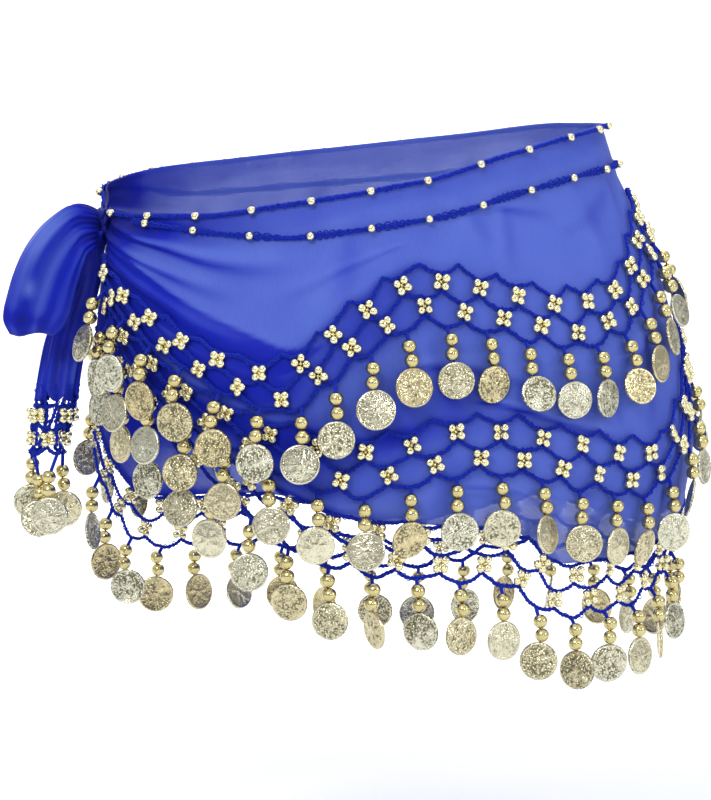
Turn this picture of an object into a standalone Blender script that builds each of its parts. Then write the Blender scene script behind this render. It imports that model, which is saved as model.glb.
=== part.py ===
"""Belly dance hip scarf, wound once round the hips and tied at the left side.

A sheer cloth wall follows a smooth, general hip form. Two bands of scalloped
crochet net lie on it and a third hangs below its hem; each band ends in a row
of bead and coin dangles. A knot, one drooping bow loop and one coin-ended tail
close the scarf at the left hip.

The frame is in metres, +Z up, with the origin at the middle of the waist
opening. The side that shows faces -Y and the knot is at -X. Lengths below are
in millimetres. "angle" goes round the hips in degrees: 0 at the knot (-X),
90 in front (-Y), 180 at the right hip (+X), 270 behind (+Y).
"""
import math

import bpy
import numpy as np

MM = 0.001
SEAM = 0.3                 # gap between two pieces that meet
HEM_GAP = 0.8              # between the cloth's straight-sided hem and its net

# Hip form: horizontal sections, one row each.
#            height  half_breadth  half_depth  shift_x
HIP_FORM = ((40, 124, 92, 1),
            (0, 133, 98, 4),
            (-40, 147, 107, 10),
            (-90, 157.5, 115, 14.5),
            (-140, 163, 120, 17),
            (-175, 159, 119, 15),
            (-210, 154.5, 116, 10.5),
            (-280, 152, 112, 10))
ROUNDNESS = 2.15           # exponent of the section's superellipse
HIP_RING_HEIGHT = -110     # ring on which arc lengths are measured
PLUMB_HEIGHT = -140        # widest level; below it loose pieces hang plumb

# Heights of the cloth's lines, one row for each place where a line turns.
#           angle  height
TOP_EDGE = ((2, -16), (17, -18), (40, -17.5), (60, -12), (90, 0), (110, 13),
            (140, 24.5), (165, 28), (200, 28), (240, 21), (290, 9), (335, 0), (352, -8))
BAND_A = ((2, -33), (10, -44), (29, -68), (59, -97), (74, -69), (87, -51), (100, -57),
          (115, -64.5), (130, -57), (146, -33), (168, -14), (200, -58), (225, -15),
          (252, -66), (280, -36), (308, -84), (340, -52), (352, -36))
BAND_B = ((2, -46), (10, -59), (18, -75), (29, -90), (41, -108), (59, -128), (73, -137),
          (94, -127), (115, -137), (132, -143), (148, -122), (168, -84), (203, -128),
          (226, -92), (255, -132), (282, -104), (310, -131), (340, -90), (352, -54))
BAND_C = ((2, -59), (10, -74), (18, -93), (29, -112), (41, -131), (59, -161), (72, -175),
          (90, -181), (100, -184), (114, -203), (136, -200), (150, -190), (168, -178),
          (195, -196), (225, -186), (255, -200), (285, -184), (310, -182), (340, -128),
          (352, -72))
#            angle  drop below the top edge
BEAD_LINE = ((30, 5), (42, 8), (54, 13), (64, 17), (150, 20), (200, 20), (300, 16), (330, 6))

# Stretches round the hips, in degrees.
CLOTH_FRONT = (3.4, 180)
CLOTH_BACK = (180, 359.2)
NET_FRONT = (9, 180)
NET_BACK = (180, 340)
BEAD_LINE_FRONT = (30, 180)
BEAD_LINE_BACK = (180, 330)
#                front  back   net repeats in each stretch of a band
REPEATS = {"a": (21, 17),
           "b": (20, 16),
           "c": (20, 16)}
CLOTH_COLUMNS = 20         # columns of each cloth wall, beyond its end by the knot
#               levels of the wall's rows: 0 top edge, 1 band A, 2 band B, 3 band C
FRONT_ROWS = (0, 0.13, 0.26, 0.39, 0.52, 0.65, 0.80, 1, 1.3, 1.6, 1.85, 2.15, 2.4, 2.65, 3)
BACK_ROWS = (0, 0.18, 0.36, 0.56, 0.78, 1, 1.3, 1.65, 2, 2.35, 2.65, 3)

# Cloth and crochet sections.
CLOTH_THICK = 1.2
CORD_WIDE = 2.4
CORD_IN, CORD_OUT = 0.9, 3.0          # a cord lying on the cloth, out from its face
NET_IN, NET_OUT = -1.4, 0.8           # the hem net, in line with the cloth's wall
FLOWER_HALF = 3.8                     # half the breadth of a four-bead flower
BAND_REACH = 31.5                     # a full band from its top line to its last

# Levels in a band, from its upper flower row, at full spacing.
LINE_0 = (9.0, 4.5)                   # (cusp, low point) of the first line
LINE_1 = (-4.5, -9.0)
LINE_2 = (-18.0, -22.5)
HEM_LINE_0 = (6.0, 4.5)               # the first line of the hem net is flatter

# Dangles: two large beads over a coin.
ROOT_HALF = 2.6
BEAD_HALF = 3.3
BEADS_TOP, BEADS_FOOT = 1.3, 13.3     # below the root's lower corner
COIN_TOP = 15.3
COIN_APOTHEM = 10.0
COIN_THICK = 1.2
COIN_SIDES = 8
DANGLE_OUT = {"a": 6.9, "b": 6.1, "c": 4.8}
TWIST = 19                            # most that a coin turns on its stem, degrees
TWIST_LAYERED = 6                     # where the rows of coins overlap
TWIST_EDGE_ON = 48                    # now and then in the lowest row
EDGE_ON_EVERY = 5
TWIST_STEP = 2.4                      # radians of the twist's cycle per dangle

# The gathered side bulges, so that the rows of coins hang in front of each other.
GATHER = (3, 13, 66, 100)             # angles: starts, full, full until, ends
GATHER_LEVELS = (0, 0.8, 1.3, 2.15, 2.65, 3)
GATHER_BULGE = (0, 9.5, 9.5, 5.2, 4.2, 0)
DANGLE_LAYER = {"a": 12, "b": 5.2, "c": 0}   # what the dangles hang out there at least

# Creases that fan out from the knot, between the top edge (0) and band A (1).
#           from_angle  at_level  to_angle  at_level  height  width
CREASES = ((3, 0.20, 66, 0.42, 2.6, 0.13),
           (3, 0.50, 52, 0.70, 2.2, 0.12),
           (357, 0.28, 300, 0.46, 2.4, 0.16))

# Knot, bow loop and tail. "left" and "near" are the directions along and across
# the bow's broad face, seen by someone who stands a little to the knot's side.
VIEW_TURN = math.radians(15)
LEFT = np.array([-math.cos(VIEW_TURN), math.sin(VIEW_TURN), 0.0])
NEAR = np.array([-math.sin(VIEW_TURN), -math.cos(VIEW_TURN), 0.0])
UP = np.array([0.0, 0.0, 1.0])
KNOT_ANGLE, KNOT_HEIGHT, KNOT_OUT = 2, -26, 8.4
KNOT_HALF = (9.0, 11.0, 12.5)         # left, near, up
#            share of the loop's drop, outer edge (left, up), inner edge (left, up)
BOW_EDGES = ((0.00, 1, 3, 0, -3),
             (0.12, 12, 11, 3, -9),
             (0.30, 28, 4, 6, -20),
             (0.50, 40, -12, 9, -32),
             (0.70, 47, -32, 12, -43),
             (0.88, 48, -48, 16, -52),
             (1.00, 43, -58, 21, -58))
BOW_START = 8.2                       # left of the knot's middle
BOW_DEEP = 12
BOW_THICK = 1.6
BOW_FOLDS, BOW_FOLD_DEEP = 2.5, 2.2
BOW_ENDS = (0.04, 0.96)
BOW_AROUND, BOW_ACROSS = 10, 7
#        height  left  near  half_left  half_near
TAIL = ((-38.9, 2.5, -4, 4, 3.5),
        (-56, 10.5, -19.5, 7, 4.5),
        (-72, 15.5, -25, 9, 5),
        (-90, 20.5, -24, 10, 5.5),
        (-104, 23, -21, 10, 6),
        (-118, 25, -19, 10, 6.5),
        (-148, 30, -17, 8.5, 6.5),
        (-200, 34, -16, 8.5, 6.5))
TAIL_THICK = 1.4
TAIL_SLIT = 50                        # degrees left open along its far side
TAIL_PLEATS, TAIL_PLEAT_DEEP = 5, 1.3
TAIL_AROUND = 12
TAIL_ROWS = (-38.9, -52, -66, -84, -102, -118)
TAIL_REPEATS = 4
TAIL_NET_HEIGHT = -125.1              # the tail net's upper flower row
TAIL_SCALE = 0.9
#                 left  near  lower  turned from the bow's face, one row for each dangle
TAIL_DANGLES = ((9.6, -2.6, 0, -5),
                (2.0, 3.8, 4, -6),
                (-5.9, 8.4, 10, 5),
                (-8.2, -6.6, 4, -8))

CHIFFON = ("chiffon", (0.10, 0.16, 0.62, 1.0), 0.65, 0.0)
CROCHET = ("crochet_cord", (0.02, 0.03, 0.30, 1.0), 0.85, 0.0)
GOLD = ("gilt_metal", (0.80, 0.70, 0.36, 1.0), 0.30, 1.0)


def through_rows(rows, column, at):
    """Monotone cubic through a table's rows: column 0 is the place, column the value."""
    table = np.array(rows, float)
    x, y = table[:, 0], table[:, column]
    step = np.diff(x)
    rise = np.diff(y) / step
    slope = np.zeros_like(y)
    slope[0], slope[-1] = rise[0], rise[-1]
    for i in range(1, len(x) - 1):
        if rise[i - 1] * rise[i] > 0:
            before, after = step[i] * 2 + step[i - 1], step[i] + step[i - 1] * 2
            slope[i] = (before + after) / (before / rise[i - 1] + after / rise[i])
    at = np.clip(np.asarray(at, float), x[0], x[-1])
    i = np.clip(np.searchsorted(x, at) - 1, 0, len(step) - 1)
    t = (at - x[i]) / step[i]
    return (y[i] * (1 + 2 * t) * (1 - t) ** 2 + step[i] * slope[i] * t * (1 - t) ** 2
            + y[i + 1] * t ** 2 * (3 - 2 * t) + step[i] * slope[i + 1] * t ** 2 * (t - 1))


def smooth(start, end, value):
    """0 before start, 1 after end, and an S between."""
    t = np.clip((value - start) / (end - start), 0.0, 1.0)
    return t * t * (3 - 2 * t)


def line_height(rows, angle):
    """Height of one of the cloth's lines; the gap behind the knot joins its two ends."""
    first, last = rows[0], rows[-1]
    closed = ((last[0] - 360, last[1]),) + tuple(rows) + ((first[0] + 360, first[1]),)
    return through_rows(closed, 1, np.mod(angle, 360.0))


def hip(angle, height, out):
    """Point of the hip form: a superellipse section, pushed out along its normal."""
    form = np.array(HIP_FORM[::-1], float)
    half_x, half_y, shift = (np.interp(height, form[:, 0], form[:, k]) for k in (1, 2, 3))
    turn = np.radians(angle)
    c, s = np.cos(turn), np.sin(turn)
    x = -half_x * np.sign(c) * np.abs(c) ** (2 / ROUNDNESS)
    y = -half_y * np.sign(s) * np.abs(s) ** (2 / ROUNDNESS)
    grow = 2 - 2 / ROUNDNESS
    nx = -np.sign(c) * np.abs(c) ** grow / half_x
    ny = -np.sign(s) * np.abs(s) ** grow / half_y
    size = np.hypot(nx, ny)
    return np.stack([shift + x + out * nx / size, y + out * ny / size,
                     height + 0.0 * x], axis=-1)


ANGLES = np.linspace(-40, 400, 1761)
RING = hip(ANGLES, HIP_RING_HEIGHT, 0.0)
ARCS = np.concatenate([[0], np.cumsum(np.linalg.norm(np.diff(RING, axis=0), axis=1))])


def arc_at(angle):
    return np.interp(angle, ANGLES, ARCS)


def angle_at(arc):
    return np.interp(arc, ARCS, ANGLES)


def spacing(angle):
    """1 where a band has its full height, less where the bands draw in to the knot."""
    a, b, c = (line_height(rows, angle) for rows in (BAND_A, BAND_B, BAND_C))
    room = np.minimum(a - b, b - c) - CORD_WIDE - 2 * SEAM
    return np.clip(room / BAND_REACH, 0.3, 1.0)


def cord_half(angle):
    """Half of a cord's width, a little less where the bands are drawn in."""
    return CORD_WIDE / 2 * (0.5 + 0.5 * spacing(angle))


def gathered(angle):
    """How far the gathers reach at this angle, 0 to 1."""
    return smooth(GATHER[0], GATHER[1], angle) * (1 - smooth(GATHER[2], GATHER[3], angle))


def level(angle, height):
    """Place down the cloth: 0 top edge, 1 band A, 2 band B, 3 band C."""
    lines = [line_height(rows, angle) for rows in (TOP_EDGE, BAND_A, BAND_B, BAND_C)]
    parts = [np.clip((high - height) / (high - low), 0, 1)
             for high, low in zip(lines, lines[1:])]
    return parts[0] + parts[1] + parts[2]


def stand_out(angle, place):
    """How far the cloth stands out from the hip form at a level: gathers and creases."""
    out = gathered(angle) * np.interp(place, GATHER_LEVELS, GATHER_BULGE)
    for start, start_level, end, end_level, tall, wide in CREASES:
        way = (angle - start) / (end - start)
        middle = start_level + (end_level - start_level) * way
        fade = smooth(0.0, 0.15, way) * (1 - smooth(0.6, 1.0, way))
        out = out + tall * fade * np.exp(-((place - middle) / wide) ** 2)
    return out


def wall_columns(stretch, net_stretch):
    """Angles of a wall's columns, evenly along the net and once more at the knot."""
    start, end = (arc_at(angle) for angle in net_stretch)
    start += SEAM / 2 if net_stretch[0] == 180 else 0
    end -= SEAM / 2 if net_stretch[1] == 180 else 0
    inner = list(angle_at(np.linspace(start, end, CLOTH_COLUMNS)))
    if stretch[0] == 180:
        return np.array(inner + [(net_stretch[1] + stretch[1]) / 2, stretch[1]])
    return np.array([stretch[0]] + inner)


WALLS = {}
for side, ends, net_ends, rows in (("front", CLOTH_FRONT, NET_FRONT, FRONT_ROWS),
                                   ("back", CLOTH_BACK, NET_BACK, BACK_ROWS)):
    columns = wall_columns(ends, net_ends)
    around, places = np.meshgrid(columns, rows)
    WALLS[side] = (columns, np.array(rows), stand_out(around, places))


def drape(angle, height):
    """The cloth's stand-out as its flat-faced wall has it, between columns and rows."""
    angle, height = np.broadcast_arrays(np.asarray(angle, float), height)
    place = level(angle, height)
    out = np.zeros(angle.shape)
    for side, (columns, rows, stand) in WALLS.items():
        i = np.clip(np.searchsorted(columns, angle) - 1, 0, len(columns) - 2)
        j = np.clip(np.searchsorted(rows, place) - 1, 0, len(rows) - 2)
        u = np.clip((angle - columns[i]) / (columns[i + 1] - columns[i]), 0, 1)
        v = np.clip((place - rows[j]) / (rows[j + 1] - rows[j]), 0, 1)
        upper = stand[j, i] * (1 - u) + stand[j, i + 1] * u
        lower = stand[j + 1, i] * (1 - u) + stand[j + 1, i + 1] * u
        here = angle <= 180 if side == "front" else angle > 180
        out = np.where(here, upper * (1 - v) + lower * v, out)
    return out


def cloth(angle, height, out):
    """Point at a distance out from the cloth's outer face."""
    return hip(angle, height, out + drape(angle, height))


def material(slot):
    name, colour, rough, metal = slot
    made = bpy.data.materials.get(name) or bpy.data.materials.new(name)
    made.use_nodes = True
    shader = made.node_tree.nodes["Principled BSDF"]
    shader.inputs["Base Color"].default_value = colour
    shader.inputs["Roughness"].default_value = rough
    shader.inputs["Metallic"].default_value = metal
    return made


def thick_piece(name, inner, outer, faces, slot):
    """Close a sheet of faces, given its inner and outer points, into one solid.

    The faces turn anticlockwise seen from outside. Each border edge gets a wall.
    """
    count = len(outer)
    solid = [tuple(face) for face in faces]
    solid += [tuple(i + count for i in reversed(face)) for face in faces]
    edges = {(a, b) for face in faces for a, b in zip(face, face[1:] + face[:1])}
    for a, b in sorted(edges):
        if (b, a) not in edges:
            solid.append((b, a, a + count, b + count))
    mesh = bpy.data.meshes.new(name)
    points = np.concatenate([outer, inner]) * MM
    mesh.from_pydata(points.tolist(), [], solid)
    mesh.update()
    made = bpy.data.objects.new(name, mesh)
    bpy.context.scene.collection.objects.link(made)
    mesh.materials.append(material(slot))
    return made


def grid_faces(columns, rows):
    """Quads of a grid whose points run along each row, rows from top to bottom."""
    return [(r * columns + c, (r + 1) * columns + c, (r + 1) * columns + c + 1,
             r * columns + c + 1) for r in range(rows - 1) for c in range(columns - 1)]


def cloth_wall(name, side):
    """One stretch of the sheer cloth: rows follow the top edge, the bands and the hem."""
    angle, places, _ = WALLS[side]
    lines = [line_height(rows, angle) for rows in (TOP_EDGE, BAND_A, BAND_B, BAND_C)]
    rows = [lines[int(place)] + (lines[int(place) + 1] - lines[int(place)]) * (place % 1)
            for place in places[:-1]]
    rows.append(lines[3] + HEM_LINE_0[0] * spacing(angle) + cord_half(angle) + HEM_GAP)
    height = np.array(rows)
    around = np.broadcast_to(angle, height.shape)
    outer = cloth(around, height, 0.0).reshape(-1, 3)
    inner = cloth(around, height, -CLOTH_THICK).reshape(-1, 3)
    thick_piece(name, inner, outer, grid_faces(len(angle), len(rows)), CHIFFON)


def cord_strip(name, side, ends, drop):
    """A cord lying along the cloth; drop gives its place below the top edge."""
    columns = WALLS[side][0]
    angle = columns[(columns >= ends[0]) & (columns <= ends[1] + 1)]
    centre = line_height(TOP_EDGE, angle) - drop(angle) - CORD_WIDE / 2 - SEAM
    height = np.stack([centre + CORD_WIDE / 2, centre - CORD_WIDE / 2])
    around = np.broadcast_to(angle, height.shape)
    outer = cloth(around, height, CORD_OUT).reshape(-1, 3)
    inner = cloth(around, height, CORD_IN).reshape(-1, 3)
    thick_piece(name, inner, outer, grid_faces(len(angle), 2), CROCHET)


class Sheet:
    """Points and faces of a piece, gathered one by one."""

    def __init__(self):
        self.inner, self.outer, self.faces = [], [], []

    def add(self, inner, outer):
        self.inner.append(np.asarray(inner, float))
        self.outer.append(np.asarray(outer, float))
        return len(self.outer) - 1

    def build(self, name, slot):
        thick_piece(name, np.array(self.inner), np.array(self.outer), self.faces, slot)


class HipBand:
    """Places in a net band on the hips, by half repeat and level from its flower row."""

    def __init__(self, rows, stretch, repeats, depth):
        fine = np.linspace(stretch[0], stretch[1], 2001)
        path = hip(fine, line_height(rows, fine), 0.0)
        way = np.concatenate([[0], np.cumsum(np.linalg.norm(np.diff(path, axis=0), axis=1))])
        start = SEAM / 2 if stretch[0] == 180 else 0
        end = way[-1] - (SEAM / 2 if stretch[1] == 180 else 0)
        self.repeats, self.depth = repeats, depth
        self.angles = np.interp(np.linspace(start, end, 2 * repeats + 1), way, fine)
        self.arcs = arc_at(self.angles)
        self.base = line_height(rows, self.angles)
        self.spacing = spacing(self.angles)
        self.halves = cord_half(self.angles)

    def width(self, half):
        return self.halves[half]

    def height(self, half, offset):
        return self.base[half] + offset * self.spacing[half]

    def slope(self, before, after):
        return (self.base[after] - self.base[before]) / (self.arcs[after] - self.arcs[before])

    def pair(self, half, along, offset, extra=0.0, lean="side"):
        """Inner and outer point beside a node, leaning with the band.

        The lean is the band's slope to that side's neighbour, the mean of both
        sides, or only as far as it goes down.
        """
        angle = float(angle_at(self.arcs[half] + along))
        height = self.height(half, offset) + extra + self.lean(half, along, lean)
        return tuple(cloth(angle, height, out) for out in self.depth)

    def lean(self, half, along, kind):
        if kind == "mean":
            return along * self.slope(half - 1, half + 1)
        if not along:
            return 0.0
        side = along * (self.slope(half, half + 1) if along > 0 else self.slope(half - 1, half))
        return min(side, 0.0) if kind == "down" else side

    def root_half(self, half):
        return ROOT_HALF * self.halves[half] / (CORD_WIDE / 2)

    def root(self, half):
        """Height of the lower corner of a dangle's root."""
        wide = self.root_half(half)
        lowest = min(self.lean(half, along, "down") for along in (-wide, wide))
        return self.height(half, LINE_2[1]) - self.width(half) + lowest

    def hang(self, half, drop, letter):
        """Middle of a dangle at a drop below its root, and its two directions."""
        angle = self.angles[half]
        root = self.root(half)
        layer = DANGLE_LAYER[letter] * float(gathered(angle))
        out = DANGLE_OUT[letter] + max(float(drape(angle, root)), layer)
        floor = max(root - drop, min(root, PLUMB_HEIGHT))
        middle = hip(angle, floor, out)
        side = hip(angle + 0.5, floor, out) - hip(angle - 0.5, floor, out)
        side[2] = 0.0
        side /= np.linalg.norm(side)
        middle[2] = root - drop
        return middle, side, np.array([side[1], -side[0], 0.0])


class TailBand:
    """The same places on the small net at the tail's end."""

    def __init__(self, repeats):
        self.repeats = repeats
        self.depth = (-TAIL_THICK, 0.8)
        half_slit = TAIL_SLIT / 2
        self.turns = np.linspace(half_slit, 360 - half_slit, 2 * repeats + 1)

    def width(self, half):
        return CORD_WIDE / 2 * TAIL_SCALE

    def root_half(self, half):
        return ROOT_HALF

    def height(self, half, offset):
        return TAIL_NET_HEIGHT + offset * TAIL_SCALE

    def pair(self, half, along, offset, extra=0.0, lean="level"):
        height = self.height(half, offset) + extra
        radius = (through_rows(TAIL[::-1], 3, height) + through_rows(TAIL[::-1], 4, height)) / 2
        turn = self.turns[half] + math.degrees(along * TAIL_SCALE / radius)
        return tuple(tail_point(turn, height, out) for out in self.depth)

    def hang(self, half, drop, letter):
        """As on the hips, but close together and with the coins about parallel."""
        root = self.height(half, LINE_2[1]) - self.width(half)
        side = tail_point(self.turns[half] + 1, root, 0.0) - tail_point(self.turns[half] - 1, root, 0.0)
        side[2] = 0.0
        side /= np.linalg.norm(side)
        near = np.array([side[1], -side[0], 0.0])
        to_left, to_near, lower, twist = TAIL_DANGLES[half // 2]
        if drop > BEADS_TOP:
            face = NEAR * math.cos(math.radians(twist)) + LEFT * math.sin(math.radians(twist))
            near = face * np.sign(np.dot(NEAR, near))
            side = np.array([-near[1], near[0], 0.0])
        row_left, row_near = (float(through_rows(TAIL[::-1], k, root)) for k in (1, 2))
        middle = knot_middle() + LEFT * (row_left + to_left) + NEAR * (row_near + to_near)
        middle[2] = root - drop - lower
        return middle, side, near


def net_piece(name, band, first_line):
    """Two cord lines with flowers between them, and flowers under the second.

    Flowers hang from a line's low points, and each is where the next line has a
    cusp. Their corners are the ends of the cords beside them, so that the net is
    one body. Half repeats are odd under the first line and even under the second.
    """
    sheet = Sheet()
    last = 2 * band.repeats

    def node(half, centre, split_above, split_below):
        """Corners of a line's node: (left, right) above and (left, right) below."""
        w = band.width(half)
        corners = []
        for split, edge in ((split_above, w), (split_below, -w)):
            if split:
                corners.append((sheet.add(*band.pair(half, -FLOWER_HALF, centre, edge)),
                                sheet.add(*band.pair(half, FLOWER_HALF, centre, edge))))
            else:
                only = sheet.add(*band.pair(half, 0.0, centre, edge))
                corners.append((only, only))
        return corners

    upper, lower = [], []
    for half in range(last + 1):
        odd, inside = half % 2 == 1, 0 < half < last
        upper.append(node(half, first_line[1 if odd else 0], False, odd))
        lower.append(node(half, LINE_1[0 if odd else 1], odd, not odd and inside))
    for line in (upper, lower):
        for left, right in zip(line, line[1:]):
            sheet.faces.append((left[1][1], right[1][0], right[0][0], left[0][1]))
    for half in range(1, last):
        if half % 2:
            (top, _), (low_left, low_right) = upper[half]
            (high_left, high_right), (foot, _) = lower[half]
            sheet.faces.append((foot, high_right, low_right, top, low_left, high_left))
        else:
            (top, _), (low_left, low_right) = lower[half]
            edge = band.width(half) + SEAM
            foot_left = sheet.add(*band.pair(half, -FLOWER_HALF, LINE_2[0], edge, "mean"))
            foot_right = sheet.add(*band.pair(half, FLOWER_HALF, LINE_2[0], edge, "mean"))
            sheet.faces.append((foot_left, foot_right, low_right, top, low_left))
    sheet.build(name, CROCHET)


def dangle(sheet, band, half, root, letter, twist):
    """Two beads as a square stem, and a coin turned by twist, under the root edge."""
    last_left, last_right = root
    for drop, wide in ((BEADS_TOP, ROOT_HALF), (BEADS_FOOT, BEAD_HALF)):
        middle, side, near = band.hang(half, drop, letter)
        left, right = (sheet.add(middle + side * x - near * BEAD_HALF,
                                 middle + side * x + near * BEAD_HALF)
                       for x in (-wide, wide))
        sheet.faces.append((left, right, last_right, last_left))
        last_left, last_right = left, right
    radius = COIN_APOTHEM / math.cos(math.pi / COIN_SIDES)
    rim = []
    for corner in range(COIN_SIDES):
        turn = math.pi / 2 + math.pi / COIN_SIDES * (2 * corner + 1)
        drop = COIN_TOP + COIN_APOTHEM - radius * math.sin(turn)
        middle, side, near = band.hang(half, drop, letter)
        along = side * math.cos(twist) + near * math.sin(twist)
        face = (near * math.cos(twist) - side * math.sin(twist)) * COIN_THICK / 2
        point = middle + radius * math.cos(turn) * along
        rim.append(sheet.add(point - face, point + face))
    sheet.faces.append((rim[0], rim[-1], last_right, last_left))
    sheet.faces.append(tuple(rim))


def fringe_piece(name, band, letter, twist_at):
    """The band's last cord line, with a dangle at each of its low points."""
    sheet = Sheet()
    nodes = []
    for half in range(2 * band.repeats + 1):
        odd = half % 2 == 1
        centre = LINE_2[1 if odd else 0]
        w = band.width(half)
        top = sheet.add(*band.pair(half, 0.0, centre, w))
        if odd:
            wide = band.root_half(half)
            foot = (sheet.add(*band.pair(half, -wide, centre, -w, "down")),
                    sheet.add(*band.pair(half, wide, centre, -w, "down")))
            sheet.faces.append((foot[0], foot[1], top))
            dangle(sheet, band, half, foot, letter, math.radians(twist_at(half)))
        else:
            only = sheet.add(*band.pair(half, 0.0, centre, -w))
            foot = (only, only)
        nodes.append((top, foot))
    for (left_top, left_foot), (right_top, right_foot) in zip(nodes, nodes[1:]):
        sheet.faces.append((left_foot[1], right_foot[0], right_top, left_top))
    sheet.build(name, GOLD)


def twist_rule(letter, band):
    """Turns of a band's coins: small where rows overlap, now and then edge-on below."""
    def twist_at(half):
        layered = float(gathered(band.angles[half]))
        most = TWIST_LAYERED * layered + TWIST * (1 - layered)
        number = half // 2
        if letter == "c" and number % EDGE_ON_EVERY == 3 and layered < 0.01:
            return TWIST_EDGE_ON
        return most * math.sin(TWIST_STEP * number + ord(letter))
    return twist_at


def hip_bands():
    """The three net bands and their coin fringes, front and back."""
    for letter, rows in (("a", BAND_A), ("b", BAND_B), ("c", BAND_C)):
        depth = (NET_IN, NET_OUT) if letter == "c" else (CORD_IN, CORD_OUT)
        first = HEM_LINE_0 if letter == "c" else LINE_0
        for side, stretch, repeats in zip(("front", "back"), (NET_FRONT, NET_BACK),
                                          REPEATS[letter]):
            band = HipBand(rows, stretch, repeats, depth)
            net_piece(f"net_{letter}_{side}", band, first)
            fringe_piece(f"fringe_{letter}_{side}", band, letter, twist_rule(letter, band))


def knot_middle():
    return hip(KNOT_ANGLE, KNOT_HEIGHT, KNOT_OUT)


def knot():
    """A rounded knot: an ellipsoid with a shallow waist where the bow leaves it."""
    around, up = 10, 6
    points = []
    for row in range(1, up):
        lean = math.pi * row / up
        for column in range(around):
            turn = 2 * math.pi * column / around
            pull = 1 + 0.10 * math.cos(3 * turn) * math.sin(lean)
            points.append(knot_middle() + pull * (
                LEFT * KNOT_HALF[0] * math.cos(turn) * math.sin(lean)
                + NEAR * KNOT_HALF[1] * math.sin(turn) * math.sin(lean))
                + UP * KNOT_HALF[2] * math.cos(lean))
    points += [knot_middle() + UP * KNOT_HALF[2], knot_middle() - UP * KNOT_HALF[2]]
    faces = []
    for column in range(around):
        after = (column + 1) % around
        faces.append((len(points) - 2, column, after))
        for row in range(up - 2):
            high, low = row * around, (row + 1) * around
            faces.append((high + column, low + column, low + after, high + after))
        low = (up - 2) * around
        faces.append((low + after, low + column, len(points) - 1))
    mesh = bpy.data.meshes.new("knot")
    mesh.from_pydata((np.array(points) * MM).tolist(), [], faces)
    mesh.update()
    made = bpy.data.objects.new("knot", mesh)
    bpy.context.scene.collection.objects.link(made)
    mesh.materials.append(material(CHIFFON))


def bow_point(round_loop, across, out):
    """Point of the bow loop: down its near layer, round the bottom and up behind."""
    turn = 2 * math.pi * round_loop
    drop = (1 - math.cos(turn)) / 2
    edge = [float(through_rows(BOW_EDGES, k, drop)) for k in (1, 2, 3, 4)]
    left = edge[2] + (edge[0] - edge[2]) * across
    up = edge[3] + (edge[1] - edge[3]) * across
    fold = BOW_FOLD_DEEP * math.sin(2 * math.pi * BOW_FOLDS * across) * math.sin(turn) ** 2
    fall = math.sin(turn)
    near = BOW_DEEP * fall + fold
    normal = NEAR * fall * 0.9 - UP * (0.35 + 0.65 * drop) * -math.cos(turn)
    normal /= np.linalg.norm(normal)
    return (knot_middle() + LEFT * (BOW_START + left) + UP * up + NEAR * near + normal * out)


def bow_loop():
    """The drooping bow loop: a cloth band that fans out from the knot."""
    shares = np.linspace(BOW_ENDS[0], BOW_ENDS[1], BOW_AROUND + 1)
    across = np.linspace(1, 0, BOW_ACROSS + 1)
    outer = np.array([bow_point(v, w, BOW_THICK / 2) for v in shares for w in across])
    inner = np.array([bow_point(v, w, -BOW_THICK / 2) for v in shares for w in across])
    thick_piece("bow_loop", inner, outer, grid_faces(len(across), len(shares)), CHIFFON)


def tail_point(turn, height, out):
    """Point of the tail: a pleated, open-backed tube that hangs from the knot."""
    left, near, half_left, half_near = (
        float(through_rows(TAIL[::-1], k, height)) for k in (1, 2, 3, 4))
    angle = math.radians(turn)
    pleat = TAIL_PLEAT_DEEP * math.cos(math.radians(turn) * TAIL_PLEATS)
    c, s = math.cos(angle), math.sin(angle)
    middle = knot_middle()
    middle[2] = height
    return (middle + NEAR * (near - (half_near + out + pleat) * c)
            + LEFT * (left + (half_left + out + pleat) * s))


def tail():
    """The tail's cloth, and the small net and fringe at its end."""
    turns = np.linspace(TAIL_SLIT / 2, 360 - TAIL_SLIT / 2, TAIL_AROUND + 1)
    outer = np.array([tail_point(a, z, 0.0) for z in TAIL_ROWS for a in turns])
    inner = np.array([tail_point(a, z, -TAIL_THICK) for z in TAIL_ROWS for a in turns])
    thick_piece("tail_cloth", inner, outer, grid_faces(len(turns), len(TAIL_ROWS)), CHIFFON)
    band = TailBand(TAIL_REPEATS)
    net_piece("tail_net", band, HEM_LINE_0)
    fringe_piece("tail_fringe", band, "c", lambda half: 0.0)


def main():
    for old in list(bpy.data.objects):
        bpy.data.objects.remove(old)
    for side, ends in (("front", CLOTH_FRONT), ("back", CLOTH_BACK)):
        cloth_wall(f"cloth_{side}", side)
        cord_strip(f"edge_cord_{side}", side, ends, lambda angle: 0.0)
    for side, ends in (("front", BEAD_LINE_FRONT), ("back", BEAD_LINE_BACK)):
        cord_strip(f"bead_line_{side}", side, ends,
                   lambda angle: through_rows(BEAD_LINE, 1, angle))
    hip_bands()
    knot()
    bow_loop()
    tail()


main()
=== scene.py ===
"""Belly dance hip scarf, dressed: sheer chiffon, crochet net, beads and coin dangles.

The scarf is wound once round the hips and tied at the left side. Lengths in the
tables are in millimetres. "angle" goes round the hips in degrees: 0 at the knot
(-X), 90 in front (-Y), 180 at the right hip (+X), 270 behind (+Y). A place down
the cloth is a "level": 0 top edge, 1 band A, 2 band B, 3 band C, the hem's.
"""
import math

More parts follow.
